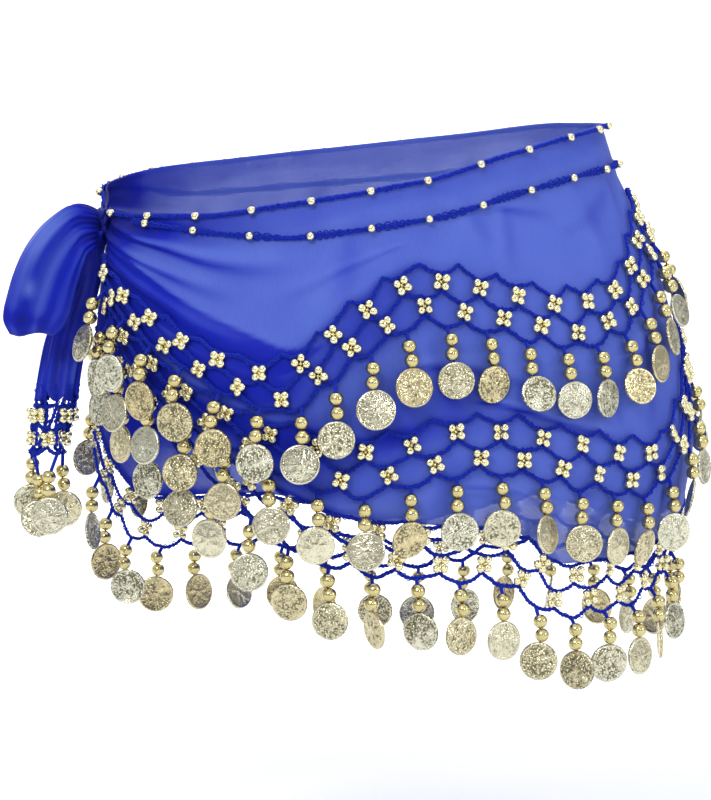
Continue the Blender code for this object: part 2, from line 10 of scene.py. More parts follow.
import bpy
import numpy as np
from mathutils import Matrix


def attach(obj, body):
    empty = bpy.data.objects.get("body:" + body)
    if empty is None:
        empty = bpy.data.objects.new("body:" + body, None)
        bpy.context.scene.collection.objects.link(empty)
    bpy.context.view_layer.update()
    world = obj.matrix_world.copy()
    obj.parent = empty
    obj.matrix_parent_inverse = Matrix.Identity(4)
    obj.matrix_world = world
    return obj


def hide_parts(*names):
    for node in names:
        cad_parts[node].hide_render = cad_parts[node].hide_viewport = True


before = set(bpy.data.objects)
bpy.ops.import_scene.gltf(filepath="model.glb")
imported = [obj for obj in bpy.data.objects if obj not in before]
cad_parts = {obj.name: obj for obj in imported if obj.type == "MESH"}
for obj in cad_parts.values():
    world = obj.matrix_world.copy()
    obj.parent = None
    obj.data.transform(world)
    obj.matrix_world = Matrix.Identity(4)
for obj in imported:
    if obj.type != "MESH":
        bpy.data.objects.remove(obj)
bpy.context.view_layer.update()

bl_info = {
    "name": "Belly Dance Hip Scarf",
    "version": (1, 0, 0),
    "blender": (4, 5, 0),
    "location": "View3D > Sidebar > Hip Scarf",
    "description": "Lays a sheer hip scarf with crochet net bands and coin dangles",
    "category": "Object",
}

MM = 0.001
BODY = "root"

# Hip form, one horizontal section a row: height, half breadth, half depth, shift along x.
HIP_FORM = (
    (40, 124, 92, 1), (0, 133, 98, 4), (-40, 147, 107, 10), (-90, 157.5, 115, 14.5),
    (-140, 163, 120, 17), (-175, 159, 119, 15), (-210, 154.5, 116, 10.5), (-280, 152, 112, 10))
ROUNDNESS = 2.15           # exponent of the section's superellipse
HIP_RING_HEIGHT = -110     # ring on which arc lengths are measured
PLUMB_HEIGHT = -140        # widest level; below it loose pieces hang plumb

# Heights of the cloth's lines: (angle, height) at each place where a line turns.
TOP_EDGE = (
    (2, -16), (17, -18), (40, -17.5), (60, -12), (90, 0), (110, 13), (140, 24.5), (165, 28),
    (200, 28), (240, 21), (290, 9), (335, 0), (352, -8))
BAND_A = (
    (2, -33), (10, -44), (29, -68), (59, -97), (74, -69), (87, -51), (100, -57), (115, -64.5),
    (130, -57), (146, -33), (168, -14), (200, -58), (225, -15), (252, -66), (280, -36),
    (308, -84), (340, -52), (352, -36))
BAND_B = (
    (2, -46), (10, -59), (18, -75), (29, -90), (41, -108), (59, -128), (73, -137), (94, -127),
    (115, -137), (132, -143), (148, -122), (168, -84), (203, -128), (226, -92), (255, -132),
    (282, -104), (310, -131), (340, -90), (352, -54))
BAND_C = (
    (2, -59), (10, -74), (18, -93), (29, -112), (41, -131), (59, -161), (72, -175), (90, -181),
    (100, -184), (114, -203), (136, -200), (150, -190), (168, -178), (195, -196), (225, -186),
    (255, -200), (285, -184), (310, -182), (340, -128), (352, -72))
BANDS = {"a": BAND_A, "b": BAND_B, "c": BAND_C}
# The beaded line: (angle, drop below the top edge).
BEAD_LINE = (
    (17, 2.6), (30, 5), (42, 8), (54, 13), (64, 17), (150, 20), (200, 20), (300, 16), (330, 6),
    (345, 2.6))

# Stretches round the hips, in degrees.
CLOTH_STRETCH = {"front": (1.0, 180), "back": (180, 359.2)}
NET_STRETCH = {"front": (9, 180), "back": (180, 340)}
BEAD_LINE_STRETCH = {"front": (17, 180), "back": (180, 345)}
# Net repeats in each stretch of a band.
REPEATS = {"a": {"front": 21, "back": 17}, "b": {"front": 20, "back": 16},
           "c": {"front": 20, "back": 16}}
HIP_BANDS = [(number, letter, side) for number, letter in enumerate(BANDS) for side in NET_STRETCH]
CLOTH_GRID = {"front": (240, 112), "back": (200, 92)}      # columns, rows
NET_SEED, FRINGE_SEED, TAIL_SEED = 11, 31, 51   # of the chance in flowers, dangles and the tail

# Crochet net.
CORD_WIDE = 2.4
CORD_OUT = {"a": 1.75, "b": 1.75, "c": -0.3, "edge": 1.7}  # a cord's middle, out from the cloth
BAND_REACH = 31.5                     # a full band from its top line to its last
SEAM = 0.3                            # what the solids keep between two pieces
STITCH_STEP = 0.75                    # between two rings of a cord's strands
STITCH_PITCH = 6.6                    # length in which a plait's strands come round
STRAND_SIDES = 4
FUZZ_REACH, FUZZ_RADIUS = 1.5, 0.30   # a loose yarn that wanders across every cord
PICOT_STEP, PICOT_RADIUS = 3.9, 0.40  # loops of thin yarn along the top lines
PICOT_RISE = 1.3

# Levels in a band, from its upper flower row, at full spacing.
LINE_0 = (9.0, 4.5)                   # (cusp, low point) of the first line
LINE_1 = (-4.5, -9.0)
LINE_2 = (-18.0, -22.5)
HEM_LINE_0 = (6.0, 4.5)               # the first line of the hem net is flatter
UNEVEN = 0.55                         # how much a place in the net strays up or down

# Flowers: four small beads round a smaller one on a knot in the net.
FLOWER_REACH = 3.1                    # from a flower's middle to a bead's
FLOWER_OUT = 1.1                      # beads stand out this much from the cords
FLOWER_TILT, FLOWER_YAW = 0.16, 0.30  # how unevenly the flowers are turned, in radians
EYE_IN, EYE_SHARE = 0.9, 0.52         # the middle bead: further in, and this share of the others
EDGE_BEAD_STEP = 30.0                 # between the small beads of the top two lines
EDGE_BEAD_OUT = 1.6

# Dangles: two large beads over a coin.
ROOT_HALF = 2.6
THREAD_RADII = (0.95, 0.45)           # above the first bead, and below it
COIN_TOP = 15.3                       # below the root's lower corner
THREAD_INTO_COIN = 1.6                # how far the thread runs on below the coin's top
PAIR_DROPS = (4.7, 11.8)              # middles of the two beads
PAIR_LOOSE = (0.3, 0.75)              # how far each of them strays sideways
PAIR_FORWARD = (0.15, 0.6)            # its share of a turned coin's way out
BEAD_IN = {"a": (2.0, 1.0), "b": (1.4, 0.7), "c": (0.4, 0.2), "tail": (0, 0)}  # nearer the cloth
COIN_APOTHEM = 10.0
DANGLE_OUT = {"a": 6.9, "b": 6.1, "c": 4.8}
TWIST = {"a": 19, "b": 34, "c": 44}   # most that a coin turns on its stem, degrees
TWIST_LAYERED = 6                     # where the rows of coins overlap
TWIST_EDGE_ON = 66                    # now and then in the lower rows
EDGE_ON_EVERY = {"a": 99, "b": 6, "c": 5}
TWIST_STEP = 2.4                      # radians of the twist's cycle per dangle
TURN_ROOM = {"a": 4.5, "b": 5.0, "c": 20, "tail": 20}  # how far back a coin's edge may turn
COIN_ROLL = {"a": 0.07, "b": 0.07, "c": 0.15, "tail": 0.07}  # spread of its lean, radians
COIN_PITCH = (0.03, 0.13)             # its tip outwards, middle and spread
COIN_GROUND_DARKENING = (0.35, 1.3)               # how far a coin's low ground is darkened by tarnish and painted shade, least to most

# The gathered side bulges, so that the rows of coins hang in front of each other.
GATHER = (3, 13, 66, 100)             # angles: starts, full, full until, ends
GATHER_LEVELS = (0, 0.8, 1.3, 2.15, 2.65, 3)
GATHER_BULGE = (0, 9.5, 9.5, 5.2, 4.2, 0)
DANGLE_LAYER = {"a": 12, "b": 5.2, "c": 0}   # what the dangles hang out there at least
BACK_SWELL = (347, 9, 6.0)            # behind the knot: angle, width, height
KNOT_SWELL = (12, 5.0)                # right at the knot: reach in degrees, height
RIPPLE = 0.35                         # a slow wave all over the cloth

# Creases that fan out from the knot: the solids' own, then the finer ones. Each
# row: from angle, at level, to angle, at level, height, width.
CREASES = (
    (3, 0.20, 66, 0.42, 2.6, 0.13), (3, 0.50, 52, 0.70, 2.2, 0.12), (357, 0.28, 300, 0.46, 2.4, 0.16))
FINE_CREASES = (
    (3, 0.09, 47, 0.08, 0.9, 0.030), (3, 0.27, 70, 0.36, 1.7, 0.050),
    (3, 0.40, 42, 0.27, 0.9, 0.032), (3, 0.50, 55, 0.53, 1.6, 0.048),
    (3, 0.62, 38, 0.60, 1.0, 0.034), (3, 0.70, 72, 0.92, 1.5, 0.055),
    (3, 0.86, 34, 0.80, 1.0, 0.040), (86, 0.62, 56, 0.50, 0.5, 0.040),
    (96, 0.30, 122, 0.40, 0.9, 0.045), (118, 0.52, 158, 0.34, 0.45, 0.110),
    (92, 1.78, 132, 1.90, 1.3, 0.045), (80, 1.50, 112, 1.62, 1.0, 0.055),
    (126, 1.42, 164, 1.30, 0.9, 0.060), (88, 2.55, 130, 2.62, 0.7, 0.060),
    (190, 0.60, 226, 0.42, 0.9, 0.060), (262, 0.55, 226, 0.36, 0.9, 0.055),
    (204, 1.50, 246, 1.66, 1.0, 0.060), (296, 1.60, 256, 1.42, 1.0, 0.060),
    (358, 0.15, 316, 0.10, 0.9, 0.035), (358, 0.34, 292, 0.42, 1.6, 0.055),
    (358, 0.48, 324, 0.62, 1.1, 0.040), (358, 0.66, 306, 0.86, 1.5, 0.055),
    (358, 0.84, 330, 0.95, 0.9, 0.040))
# Soft folds that hang down the cloth. Each row: angle, from level, to level, height,
# width, and the degrees that it leans to its foot.
HANGING_FOLDS = (
    (74, 0.10, 0.95, 0.9, 4.0, -6), (95, 0.12, 0.75, 0.8, 2.6, 5), (106, 0.20, 0.90, 0.7, 2.2, -4),
    (126, 0.15, 1.00, 0.6, 4.5, 4), (148, 0.10, 0.90, 1.0, 3.0, -5), (84, 1.25, 2.00, 0.9, 3.0, 5),
    (104, 1.35, 1.95, 1.1, 3.4, -4), (119, 1.30, 2.05, 0.8, 2.4, 5), (137, 1.25, 1.95, 1.2, 3.6, -6),
    (158, 1.10, 2.00, 1.0, 3.0, 3), (88, 2.20, 2.95, 0.7, 3.0, -3), (112, 2.15, 2.95, 0.8, 3.2, 4),
    (141, 2.20, 2.95, 0.8, 2.6, -4), (170, 0.30, 2.60, 1.1, 3.0, 4), (193, 0.20, 1.00, 0.9, 3.0, -5),
    (209, 1.20, 2.10, 1.2, 3.6, 5), (231, 0.15, 0.95, 1.0, 3.4, 5), (246, 1.30, 2.95, 1.1, 3.2, -4),
    (268, 0.20, 1.00, 0.8, 2.8, 4), (279, 1.20, 2.20, 1.0, 3.2, -5), (297, 0.20, 0.95, 0.9, 3.6, 5),
    (312, 1.25, 2.90, 1.1, 3.0, -4), (330, 1.10, 2.60, 0.9, 2.6, 3))
CREASE_DIP = 0.45                     # a crease's trough, as a share of its ridge
# Where the cloth is folded double towards band A: (angle from the knot, its upper edge's level).
DOUBLED = ((3, 0.40), (18, 0.53), (32, 0.66), (42, 0.71), (52, 0.76), (61, 0.86), (70, 1.06))
DOUBLED_ENDS = 69

# Knot, bow loop and tail. LEFT and NEAR are the directions along and across the
# bow's broad face, seen by someone who stands a little to the knot's side.
VIEW_TURN = math.radians(15)
LEFT = np.array([-math.cos(VIEW_TURN), math.sin(VIEW_TURN), 0.0])
NEAR = np.array([-math.sin(VIEW_TURN), -math.cos(VIEW_TURN), 0.0])
UP = np.array([0.0, 0.0, 1.0])
KNOT_ANGLE, KNOT_HEIGHT, KNOT_OUT = 2, -26, 8.4
KNOT_HALF = (6.2, 9.0, 10.0)          # left, near, up
KNOT_GRID = (72, 40)                  # columns, rows
# Share of the loop's drop, then its outer edge and its inner edge, each (left, up).
BOW_EDGES = (
    (0.00, 0, 8, 0, -8), (0.12, 8, 12, 1, -13), (0.30, 22, 4, 4, -22), (0.50, 34.5, -12, 7, -32),
    (0.70, 42, -31, 10, -43), (0.88, 45.5, -47, 14, -51), (1.00, 42.5, -56, 20, -57))
BOW_START = 4.6                       # left of the knot's middle, where the loop is clear of it
BOW_CLEFT = -0.5                      # the same where the loop comes out of the knot's cleft
BOW_OVER = 9.5                        # how far in front of and behind the middle it does
BOW_SWELL = 9.6                       # how far the loop's two layers stand off its middle
BOW_FOLDS, BOW_FOLD_DEEP = 1.6, 1.5
# Finer folds along the loop, all unequal: (place across, depth, width).
BOW_PLEATS = ((0.10, 0.8, 0.070), (0.30, -1.0, 0.060), (0.46, 0.9, 0.050),
              (0.69, -0.7, 0.065), (0.87, 0.6, 0.050))
BOW_GRID = (100, 48)                  # rows along the loop, columns across it
BOW_FLAT = (45, 190)                  # the cloth's flat width and length in it, for its weave
# The tail's middle and half widths: height, left, near, half left, half near.
TAIL = (
    (-28, 1, 3.5, 4, 7), (-38.9, 5.5, -3, 6.5, 4.5), (-56, 9.8, -19.5, 8.2, 4.5),
    (-72, 15.5, -25, 9, 5), (-90, 20.5, -24, 10, 5.5), (-104, 23, -21, 10, 6),
    (-118, 25, -19, 10, 6.5), (-148, 30, -17, 8.5, 6.5), (-200, 34, -16, 8.5, 6.5))
TAIL_TOP, TAIL_END = TAIL[0][0], -118
TAIL_SCALLOPS = ((150, 16, 5.5), (205, 12, 3.0), (262, 14, 4.5))  # in its hem: turn, width, height
TAIL_SLIT = 50                        # degrees left open along its far side
TAIL_TURNS = (TAIL_SLIT / 2, 360 - TAIL_SLIT / 2)
TAIL_GRID = (46, 88)                  # rows, columns
TAIL_PLEATS, TAIL_PLEAT_DEEP = 5, 1.3
TAIL_REPEATS = 4
TAIL_NET_HEIGHT = -125.1              # the tail net's upper flower row
TAIL_SCALE = 0.9
TAIL_CHAINS, TAIL_CHAIN_LONG = 13, 33  # yarn that hangs down through the small net
# Each of its dangles: left, near, lower, and degrees turned from the bow's face.
TAIL_DANGLES = ((7.2, -2.6, 0, -5), (3.6, 3.8, 8, -6), (-1.9, 8.4, 6, 5), (-7.9, -6.6, 4, -8))


# ---------------------------------------------------------------- hip form

def through_rows(rows, column, at):
    """Monotone cubic through a table's rows: column 0 is the place, column the value."""
    table = np.array(rows, float)
    x, y = table[:, 0], table[:, column]
    step = np.diff(x)
    rise = np.diff(y) / step
    slope = np.zeros_like(y)
    slope[0], slope[-1] = rise[0], rise[-1]
    for i in range(1, len(x) - 1):
        if rise[i - 1] * rise[i] > 0:
            before, after = step[i] * 2 + step[i - 1], step[i] + step[i - 1] * 2
            slope[i] = (before + after) / (before / rise[i - 1] + after / rise[i])
    at = np.clip(np.asarray(at, float), x[0], x[-1])
    i = np.clip(np.searchsorted(x, at) - 1, 0, len(step) - 1)
    t = (at - x[i]) / step[i]
    return (y[i] * (1 + 2 * t) * (1 - t) ** 2 + step[i] * slope[i] * t * (1 - t) ** 2
            + y[i + 1] * t ** 2 * (3 - 2 * t) + step[i] * slope[i + 1] * t ** 2 * (t - 1))


def smooth(start, end, value):
    """0 before start, 1 after end, and an S between."""
    t = np.clip((value - start) / (end - start), 0.0, 1.0)
    return t * t * (3 - 2 * t)


def fades(start, end, value):
    """1 before start, 0 after end, and an S between."""
    return 1 - smooth(start, end, value)


def hump(middle, width, value):
    """A bell: 1 at its middle, falling off over its width."""
    return np.exp(-((value - middle) / width) ** 2)


def unit(vectors):
    """Vectors scaled to length 1, along the last axis."""
    return vectors / np.maximum(np.linalg.norm(vectors, axis=-1, keepdims=True), 1e-9)


def stacked(*parts):
    """The parts, spread to one shape, side by side along a new last axis."""
    return np.stack(np.broadcast_arrays(*parts), axis=-1)


def way_along(path):
    """How far along a path each of its points lies."""
    return np.concatenate([[0], np.cumsum(np.linalg.norm(np.diff(path, axis=0), axis=1))])


def line_height(rows, angle):
    """Height of one of the cloth's lines; the gap behind the knot joins its two ends."""
    first, last = rows[0], rows[-1]
    closed = ((last[0] - 360, last[1]),) + tuple(rows) + ((first[0] + 360, first[1]),)
    return through_rows(closed, 1, np.mod(angle, 360.0))


def cloth_lines(angle):
    """Heights of the top edge and of bands A, B and C."""
    return [line_height(rows, angle) for rows in (TOP_EDGE, BAND_A, BAND_B, BAND_C)]


def hip(angle, height, out):
    """Point of the hip form: a superellipse section, pushed out along its normal."""
    form = np.array(HIP_FORM[::-1], float)
    half_x, half_y, shift = (np.interp(height, form[:, 0], form[:, k]) for k in (1, 2, 3))
    turn = np.radians(angle)
    c, s = np.cos(turn), np.sin(turn)
    x = -half_x * np.sign(c) * np.abs(c) ** (2 / ROUNDNESS)
    y = -half_y * np.sign(s) * np.abs(s) ** (2 / ROUNDNESS)
    grow = 2 - 2 / ROUNDNESS
    nx = -np.sign(c) * np.abs(c) ** grow / half_x
    ny = -np.sign(s) * np.abs(s) ** grow / half_y
    size = np.hypot(nx, ny)
    return stacked(shift + x + out * nx / size, y + out * ny / size, height)


ANGLES = np.linspace(-40, 400, 1761)
ARCS = way_along(hip(ANGLES, HIP_RING_HEIGHT, 0.0))


def arc_at(angle):
    return np.interp(angle, ANGLES, ARCS)


def angle_at(arc):
    return np.interp(arc, ARCS, ANGLES)


def from_knot(angle):
    """The angle from the knot, the same way round in front and behind."""
    return np.where(angle > 180, 360 - angle, angle)


def spacing(angle):
    """1 where a band has its full height, less where the bands draw in to the knot."""
    _, a, b, c = cloth_lines(angle)
    room = np.minimum(a - b, b - c) - CORD_WIDE - 2 * SEAM
    return np.clip(room / BAND_REACH, 0.3, 1.0)


def cord_half(angle):
    """Half of a cord's width, a little less where the bands are drawn in."""
    return CORD_WIDE / 2 * (0.5 + 0.5 * spacing(angle))


def gathered(angle):
    """How far the gathers reach at this angle, 0 to 1."""
    return smooth(GATHER[0], GATHER[1], angle) * fades(GATHER[2], GATHER[3], angle)


def level(angle, height):
    """Place down the cloth: 0 top edge, 1 band A, 2 band B, 3 band C."""
    lines = cloth_lines(angle)
    return sum(np.clip((high - height) / (high - low), 0, 1) for high, low in zip(lines, lines[1:]))


def creases(rows, angle, place, starts, ends, spread, grow):
    """Each crease's height here, how far off it lies, and its width.

    A crease runs straight from its first place to its last. It is full from the share
    "starts" of its way to the share "ends". Its table's width is multiplied by "spread"
    at its first place, and by "grow" more at its last.
    """
    for start, start_level, end, end_level, tall, wide in rows:
        way = (angle - start) / (end - start)
        off = place - (start_level + (end_level - start_level) * way)
        yield tall * smooth(0.0, starts, way) * fades(ends, 1.0, way), off, wide * (spread + grow * way)


def hanging_folds(angle, place):
    """The same of each fold that hangs down the cloth."""
    for middle, start, end, tall, wide, lean in HANGING_FOLDS:
        way = (place - start) / (end - start)
        yield tall * smooth(0.0, 0.35, way) * fades(0.6, 1.0, way), angle - middle - lean * way, wide


def stand_out(angle, place):
    """How far the cloth stands out from the hip form at a level: gathers and creases."""
    out = gathered(angle) * np.interp(place, GATHER_LEVELS, GATHER_BULGE)
    middle, wide, tall = BACK_SWELL
    out = out + tall * hump(middle, wide, np.mod(angle, 360)) * fades(0.15, 0.6, place)
    to_knot = np.abs(np.mod(angle + 178, 360) - 180)
    out = out + KNOT_SWELL[1] * fades(0, KNOT_SWELL[0], to_knot) * fades(0.5, 0.95, place)
    for tall, off, wide in creases(CREASES, angle, place, 0.15, 0.6, 1, 0):
        out = out + tall * hump(0, wide, off)
    return out


def soft_folds(angle, place):
    """The cloth's finer folds: each is a ridge with a shallow trough beside it."""
    out = RIPPLE * np.sin(np.radians(angle * 7)) * np.sin(place * 3.1 + np.radians(angle * 2))
    for tall, off, wide in creases(FINE_CREASES, angle, place, 0.10, 0.45, 0.5, 1):
        out = out + tall * (hump(0, wide, off) - CREASE_DIP * hump(1.8 * wide, wide, off))
    for tall, off, wide in hanging_folds(angle, place):
        out = out + tall * (hump(0, wide, off) - CREASE_DIP * hump(1.7 * wide, wide, off))
    return out


def fold_shade(angle, place):
    """Painted shade beside each fold's ridge, where the sheer cloth also lies in several layers, and painted
    light on the ridge's other flank.
    """
    shade = 0.0 * angle * place
    for tall, off, wide in creases(FINE_CREASES, angle, place, 0.10, 0.5, 0.4, 1):
        beside = hump(0.9 * wide, 0.8 * wide, off) - 0.5 * hump(-0.6 * wide, wide, off)
        shade = shade + 0.50 * tall * beside
    for tall, off, wide in hanging_folds(angle, place):
        beside = hump(0.7 * wide, 0.7 * wide, off) - 0.5 * hump(-0.5 * wide, wide, off)
        shade = shade + 0.28 * tall * beside
    return shade


def cloth(angle, height, out):
    """Point at a distance out from the cloth's outer face."""
    place = level(angle, height)
    return hip(angle, height, out + stand_out(angle, place) + soft_folds(angle, place))


# ---------------------------------------------------------------- meshes

def smooth_mesh(name, points, faces, material):
    """A mesh from points in metres."""
    mesh = bpy.data.meshes.new(name)
    mesh.from_pydata(points.tolist(), [], faces)
    mesh.polygons.foreach_set("use_smooth", np.ones(len(faces), bool))
    mesh.materials.append(material)
    return mesh


def put_in_scene(name, data):
    """An object at the origin with this mesh, light or camera."""
    made = bpy.data.objects.new(name, data)
    bpy.context.scene.collection.objects.link(made)
    return made


def new_piece(name, points, faces, slot, uv=None, **marks):
    """A piece from points in millimetres, with its slot's material, a UV and marks.

    The marks are point attributes by name, one number for each point.
    """
    mesh = smooth_mesh(name, points * MM, faces, shared_material(slot))
    if uv is not None:
        corner = np.zeros(len(mesh.loops), int)
        mesh.loops.foreach_get("vertex_index", corner)
        layer = mesh.uv_layers.new(name="cloth_mm")
        layer.data.foreach_set("uv", np.asarray(uv)[corner].astype(np.float32).ravel())
    for mark, values in marks.items():
        attribute = mesh.attributes.new(mark, "FLOAT", "POINT")
        attribute.data.foreach_set("value", np.asarray(values, np.float32))
    mesh.update()
    piece = put_in_scene(name, mesh)
    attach(piece, BODY)
    return piece


def grid_quads(columns, rows, wrap=False):
    """Quads of a grid of points, rows from top to bottom, seen from outside."""
    r = np.arange(rows - 1)[:, None]
    c = np.arange(columns if wrap else columns - 1)[None, :]
    after = (c + 1) % columns
    low = (r + 1) * columns
    return stacked(r * columns + c, low + c, low + after, r * columns + after).reshape(-1, 4)


def outward(grid):
    """Unit normals of a grid of points: down its rows, crossed with along its columns."""
    return unit(np.cross(np.gradient(grid, axis=0), np.gradient(grid, axis=1)))


def lay_cloth(name, grid, flat, deep):
    """Chiffon laid on a grid: a thin closed solid with its place on the flat cloth.

    It is the grid, the same points moved in by the cloth's thickness, and a rim
    that joins them. "deep" is how deep the colour is at each point, from layers of cloth and, on most
    pieces, from painted shade and light.
    """
    rows, columns = grid.shape[:2]
    count = rows * columns
    inner = grid - outward(grid) * (bpy.context.scene.scarf_cloth.thickness / MM)
    face = grid_quads(columns, rows)
    left, right = np.arange(rows) * columns, np.arange(rows) * columns + columns - 1
    rim = np.concatenate([left, left[-1] + np.arange(1, columns), right[-2::-1],
                          np.arange(columns - 2, -1, -1)])
    a, b = rim[:-1], rim[1:]
    walls = stacked(b, a, a + count, b + count)
    quads = np.concatenate([face, face[:, ::-1] + count, walls])
    points = np.concatenate([grid.reshape(-1, 3), inner.reshape(-1, 3)])
    return new_piece(name, points, quads.tolist(), "chiffon", uv=np.tile(flat.reshape(-1, 2), (2, 1)),
                     deep=np.tile(deep.ravel(), 2))


def laid_cord(angle, height, out):
    """A cord's path on the cloth, in even steps, and the way out of the cloth along it."""
    way = way_along(hip(angle, height, 0.0))
    even = np.linspace(0, way[-1], max(2, int(way[-1] / STITCH_STEP)))
    angle, height = np.interp(even, way, angle), np.interp(even, way, height)
    path = cloth(angle, height, out)
    return path, unit(cloth(angle, height, out + 1.0) - path)


def plait(path, out, share=1.0):
    """Three strands plaited along a path, at a share of a full cord's width.

    Strand k swings across the path by a sine of its phase and out of it by a sine
    of twice the phase; the three phases lie a third of a turn apart. A fourth, thin
    yarn strays from side to side. Each is a tube of a few sides about its own line.
    """
    wide = bpy.context.scene.scarf_cord.width / MM * share
    radius, lift = wide * 0.22, wide * 0.17
    across = unit(np.cross(unit(np.gradient(path, axis=0)), out))
    way = way_along(path)[None, :]
    strand = np.arange(3)[:, None]
    swing = (wide / 2 - radius) * (1 + 0.30 * np.sin(way / 7.3 + 2.1 * strand))
    phase = 2 * np.pi * (way / STITCH_PITCH + strand / 3) + 0.6 * np.sin(way / 11.7)
    middle = (path + across * (swing * np.sin(phase))[..., None]
              + out * (lift * np.sin(2 * phase))[..., None])
    way = way[0][:, None]
    stray = np.sin(1.05 * way + 1.3 * np.sin(way / 5.1)) * (0.55 + 0.45 * np.sin(way / 8.7))
    loose = path + across * FUZZ_REACH * stray + out * (0.35 * wide + 0.4 * np.cos(1.7 * way))
    return joined([tubes(middle, out, radius), tubes(loose[None], out, FUZZ_RADIUS)])


def tubes(middle, out, radius):
    """Round tubes about middle lines, one for each row of the array."""
    lines, count = middle.shape[:2]
    forward = unit(np.gradient(middle, axis=1))
    first = unit(out - forward * np.sum(out * forward, axis=-1, keepdims=True))
    second = np.cross(forward, first)
    turn = 2 * np.pi * np.arange(STRAND_SIDES)[:, None] / STRAND_SIDES
    ring = (middle[:, :, None, :] + radius * (first[:, :, None, :] * np.cos(turn)
                                              + second[:, :, None, :] * np.sin(turn)))
    side = np.arange(STRAND_SIDES)
    after = (side + 1) % STRAND_SIDES
    start = np.arange(count - 1)[:, None] * STRAND_SIDES
    end = start + STRAND_SIDES
    tube = stacked(start + side, start + after, end + after, end + side).reshape(-1, 4)
    faces = []
    for line in range(lines):
        base = line * count * STRAND_SIDES
        faces += (tube + base).tolist()
        faces.append((base + side[::-1]).tolist())
        faces.append((base + (count - 1) * STRAND_SIDES + side).tolist())
    return ring.reshape(-1, 3), faces


def picots(path, out, rise):
    """A thin yarn that loops along one side of a cord, by the size of a sine of the way."""
    way = np.arange(len(path)) * STITCH_STEP
    across = unit(np.cross(unit(np.gradient(path, axis=0)), out))
    loop = np.abs(np.sin(np.pi * way / PICOT_STEP + 1.9 * np.sin(way / 8.3)))
    tall = rise * (0.45 + 0.7 * loop * (1 + 0.7 * np.sin(way / 5.3)))
    line = path + across * tall[:, None] + out * (0.4 * np.cos(way * 1.9))[:, None]
    return tubes(line[None], out, PICOT_RADIUS)


def joined(parts):
    """One list of points and faces from several."""
    points, faces, start = [], [], 0
    for part_points, part_faces in parts:
        points.append(part_points)
        faces += [[i + start for i in face] for face in part_faces]
        start += len(part_points)
    return np.concatenate(points), faces


def copies(shape, centres, axes, sizes):
    """Copies of a shape: each point is centre + axes x (size x shape point)."""
    points, quads, fans = shape
    placed = centres[:, None, :] + np.einsum("nij,npj->npi", axes, points[None] * sizes[:, None, :])
    start = (np.arange(len(centres)) * len(points))[:, None, None]
    faces = (quads[None] + start).reshape(-1, 4).tolist()
    faces += (fans[None] + start).reshape(-1, 3).tolist()
    return placed.reshape(-1, 3), faces


def closed_rings(rings, top, foot):
    """Rows of points that close in a point at top and foot; returns points, quads, fans."""
    rows, sides = rings.shape[:2]
    points = np.concatenate([[top], rings.reshape(-1, 3), [foot]])
    side = np.arange(sides)
    after = (side + 1) % sides
    last = len(points) - 1
    fans = [stacked(0, side + 1, after + 1), stacked(last, last - sides + after, last - sides + side)]
    return points, grid_quads(sides, rows, wrap=True) + 1, np.concatenate(fans)


def turned_shape(radii, heights, sides):
    """A turned shape from its top pole down to its foot: a ring for each radius between."""
    turn = 2 * np.pi * np.arange(sides) / sides
    r, h = np.array(radii[1:-1])[:, None], np.array(heights[1:-1])[:, None]
    rings = stacked(r * np.cos(turn), r * np.sin(turn), h)
    return closed_rings(rings, [0, 0, heights[0]], [0, 0, heights[-1]])


def bead_shape(sides, rings):
    """A round bead of radius 1, a little dimpled at the two ends of its hole."""
    lean = np.pi * np.arange(rings + 1) / rings
    heights = np.cos(lean)
    heights[0], heights[-1] = 0.86, -0.86
    return turned_shape(np.sin(lean), heights, sides)


SMALL_BEAD, EYE_BEAD, LARGE_BEAD = bead_shape(8, 6), bead_shape(6, 4), bead_shape(12, 8)


# ---------------------------------------------------------------- net bands

class Band:
    """A net band. A place in it is p, half repeats from its first end, and an offset, up
    or down from its upper flower row."""

    def frames(self, p, offset):
        """Side, up and outward directions, as columns of a matrix."""
        side = unit(self.point(p + 0.1, offset, 0) - self.point(p - 0.1, offset, 0))
        out = unit(np.cross(side, self.upward(p, offset)))
        return stacked(side, np.cross(out, side), out)


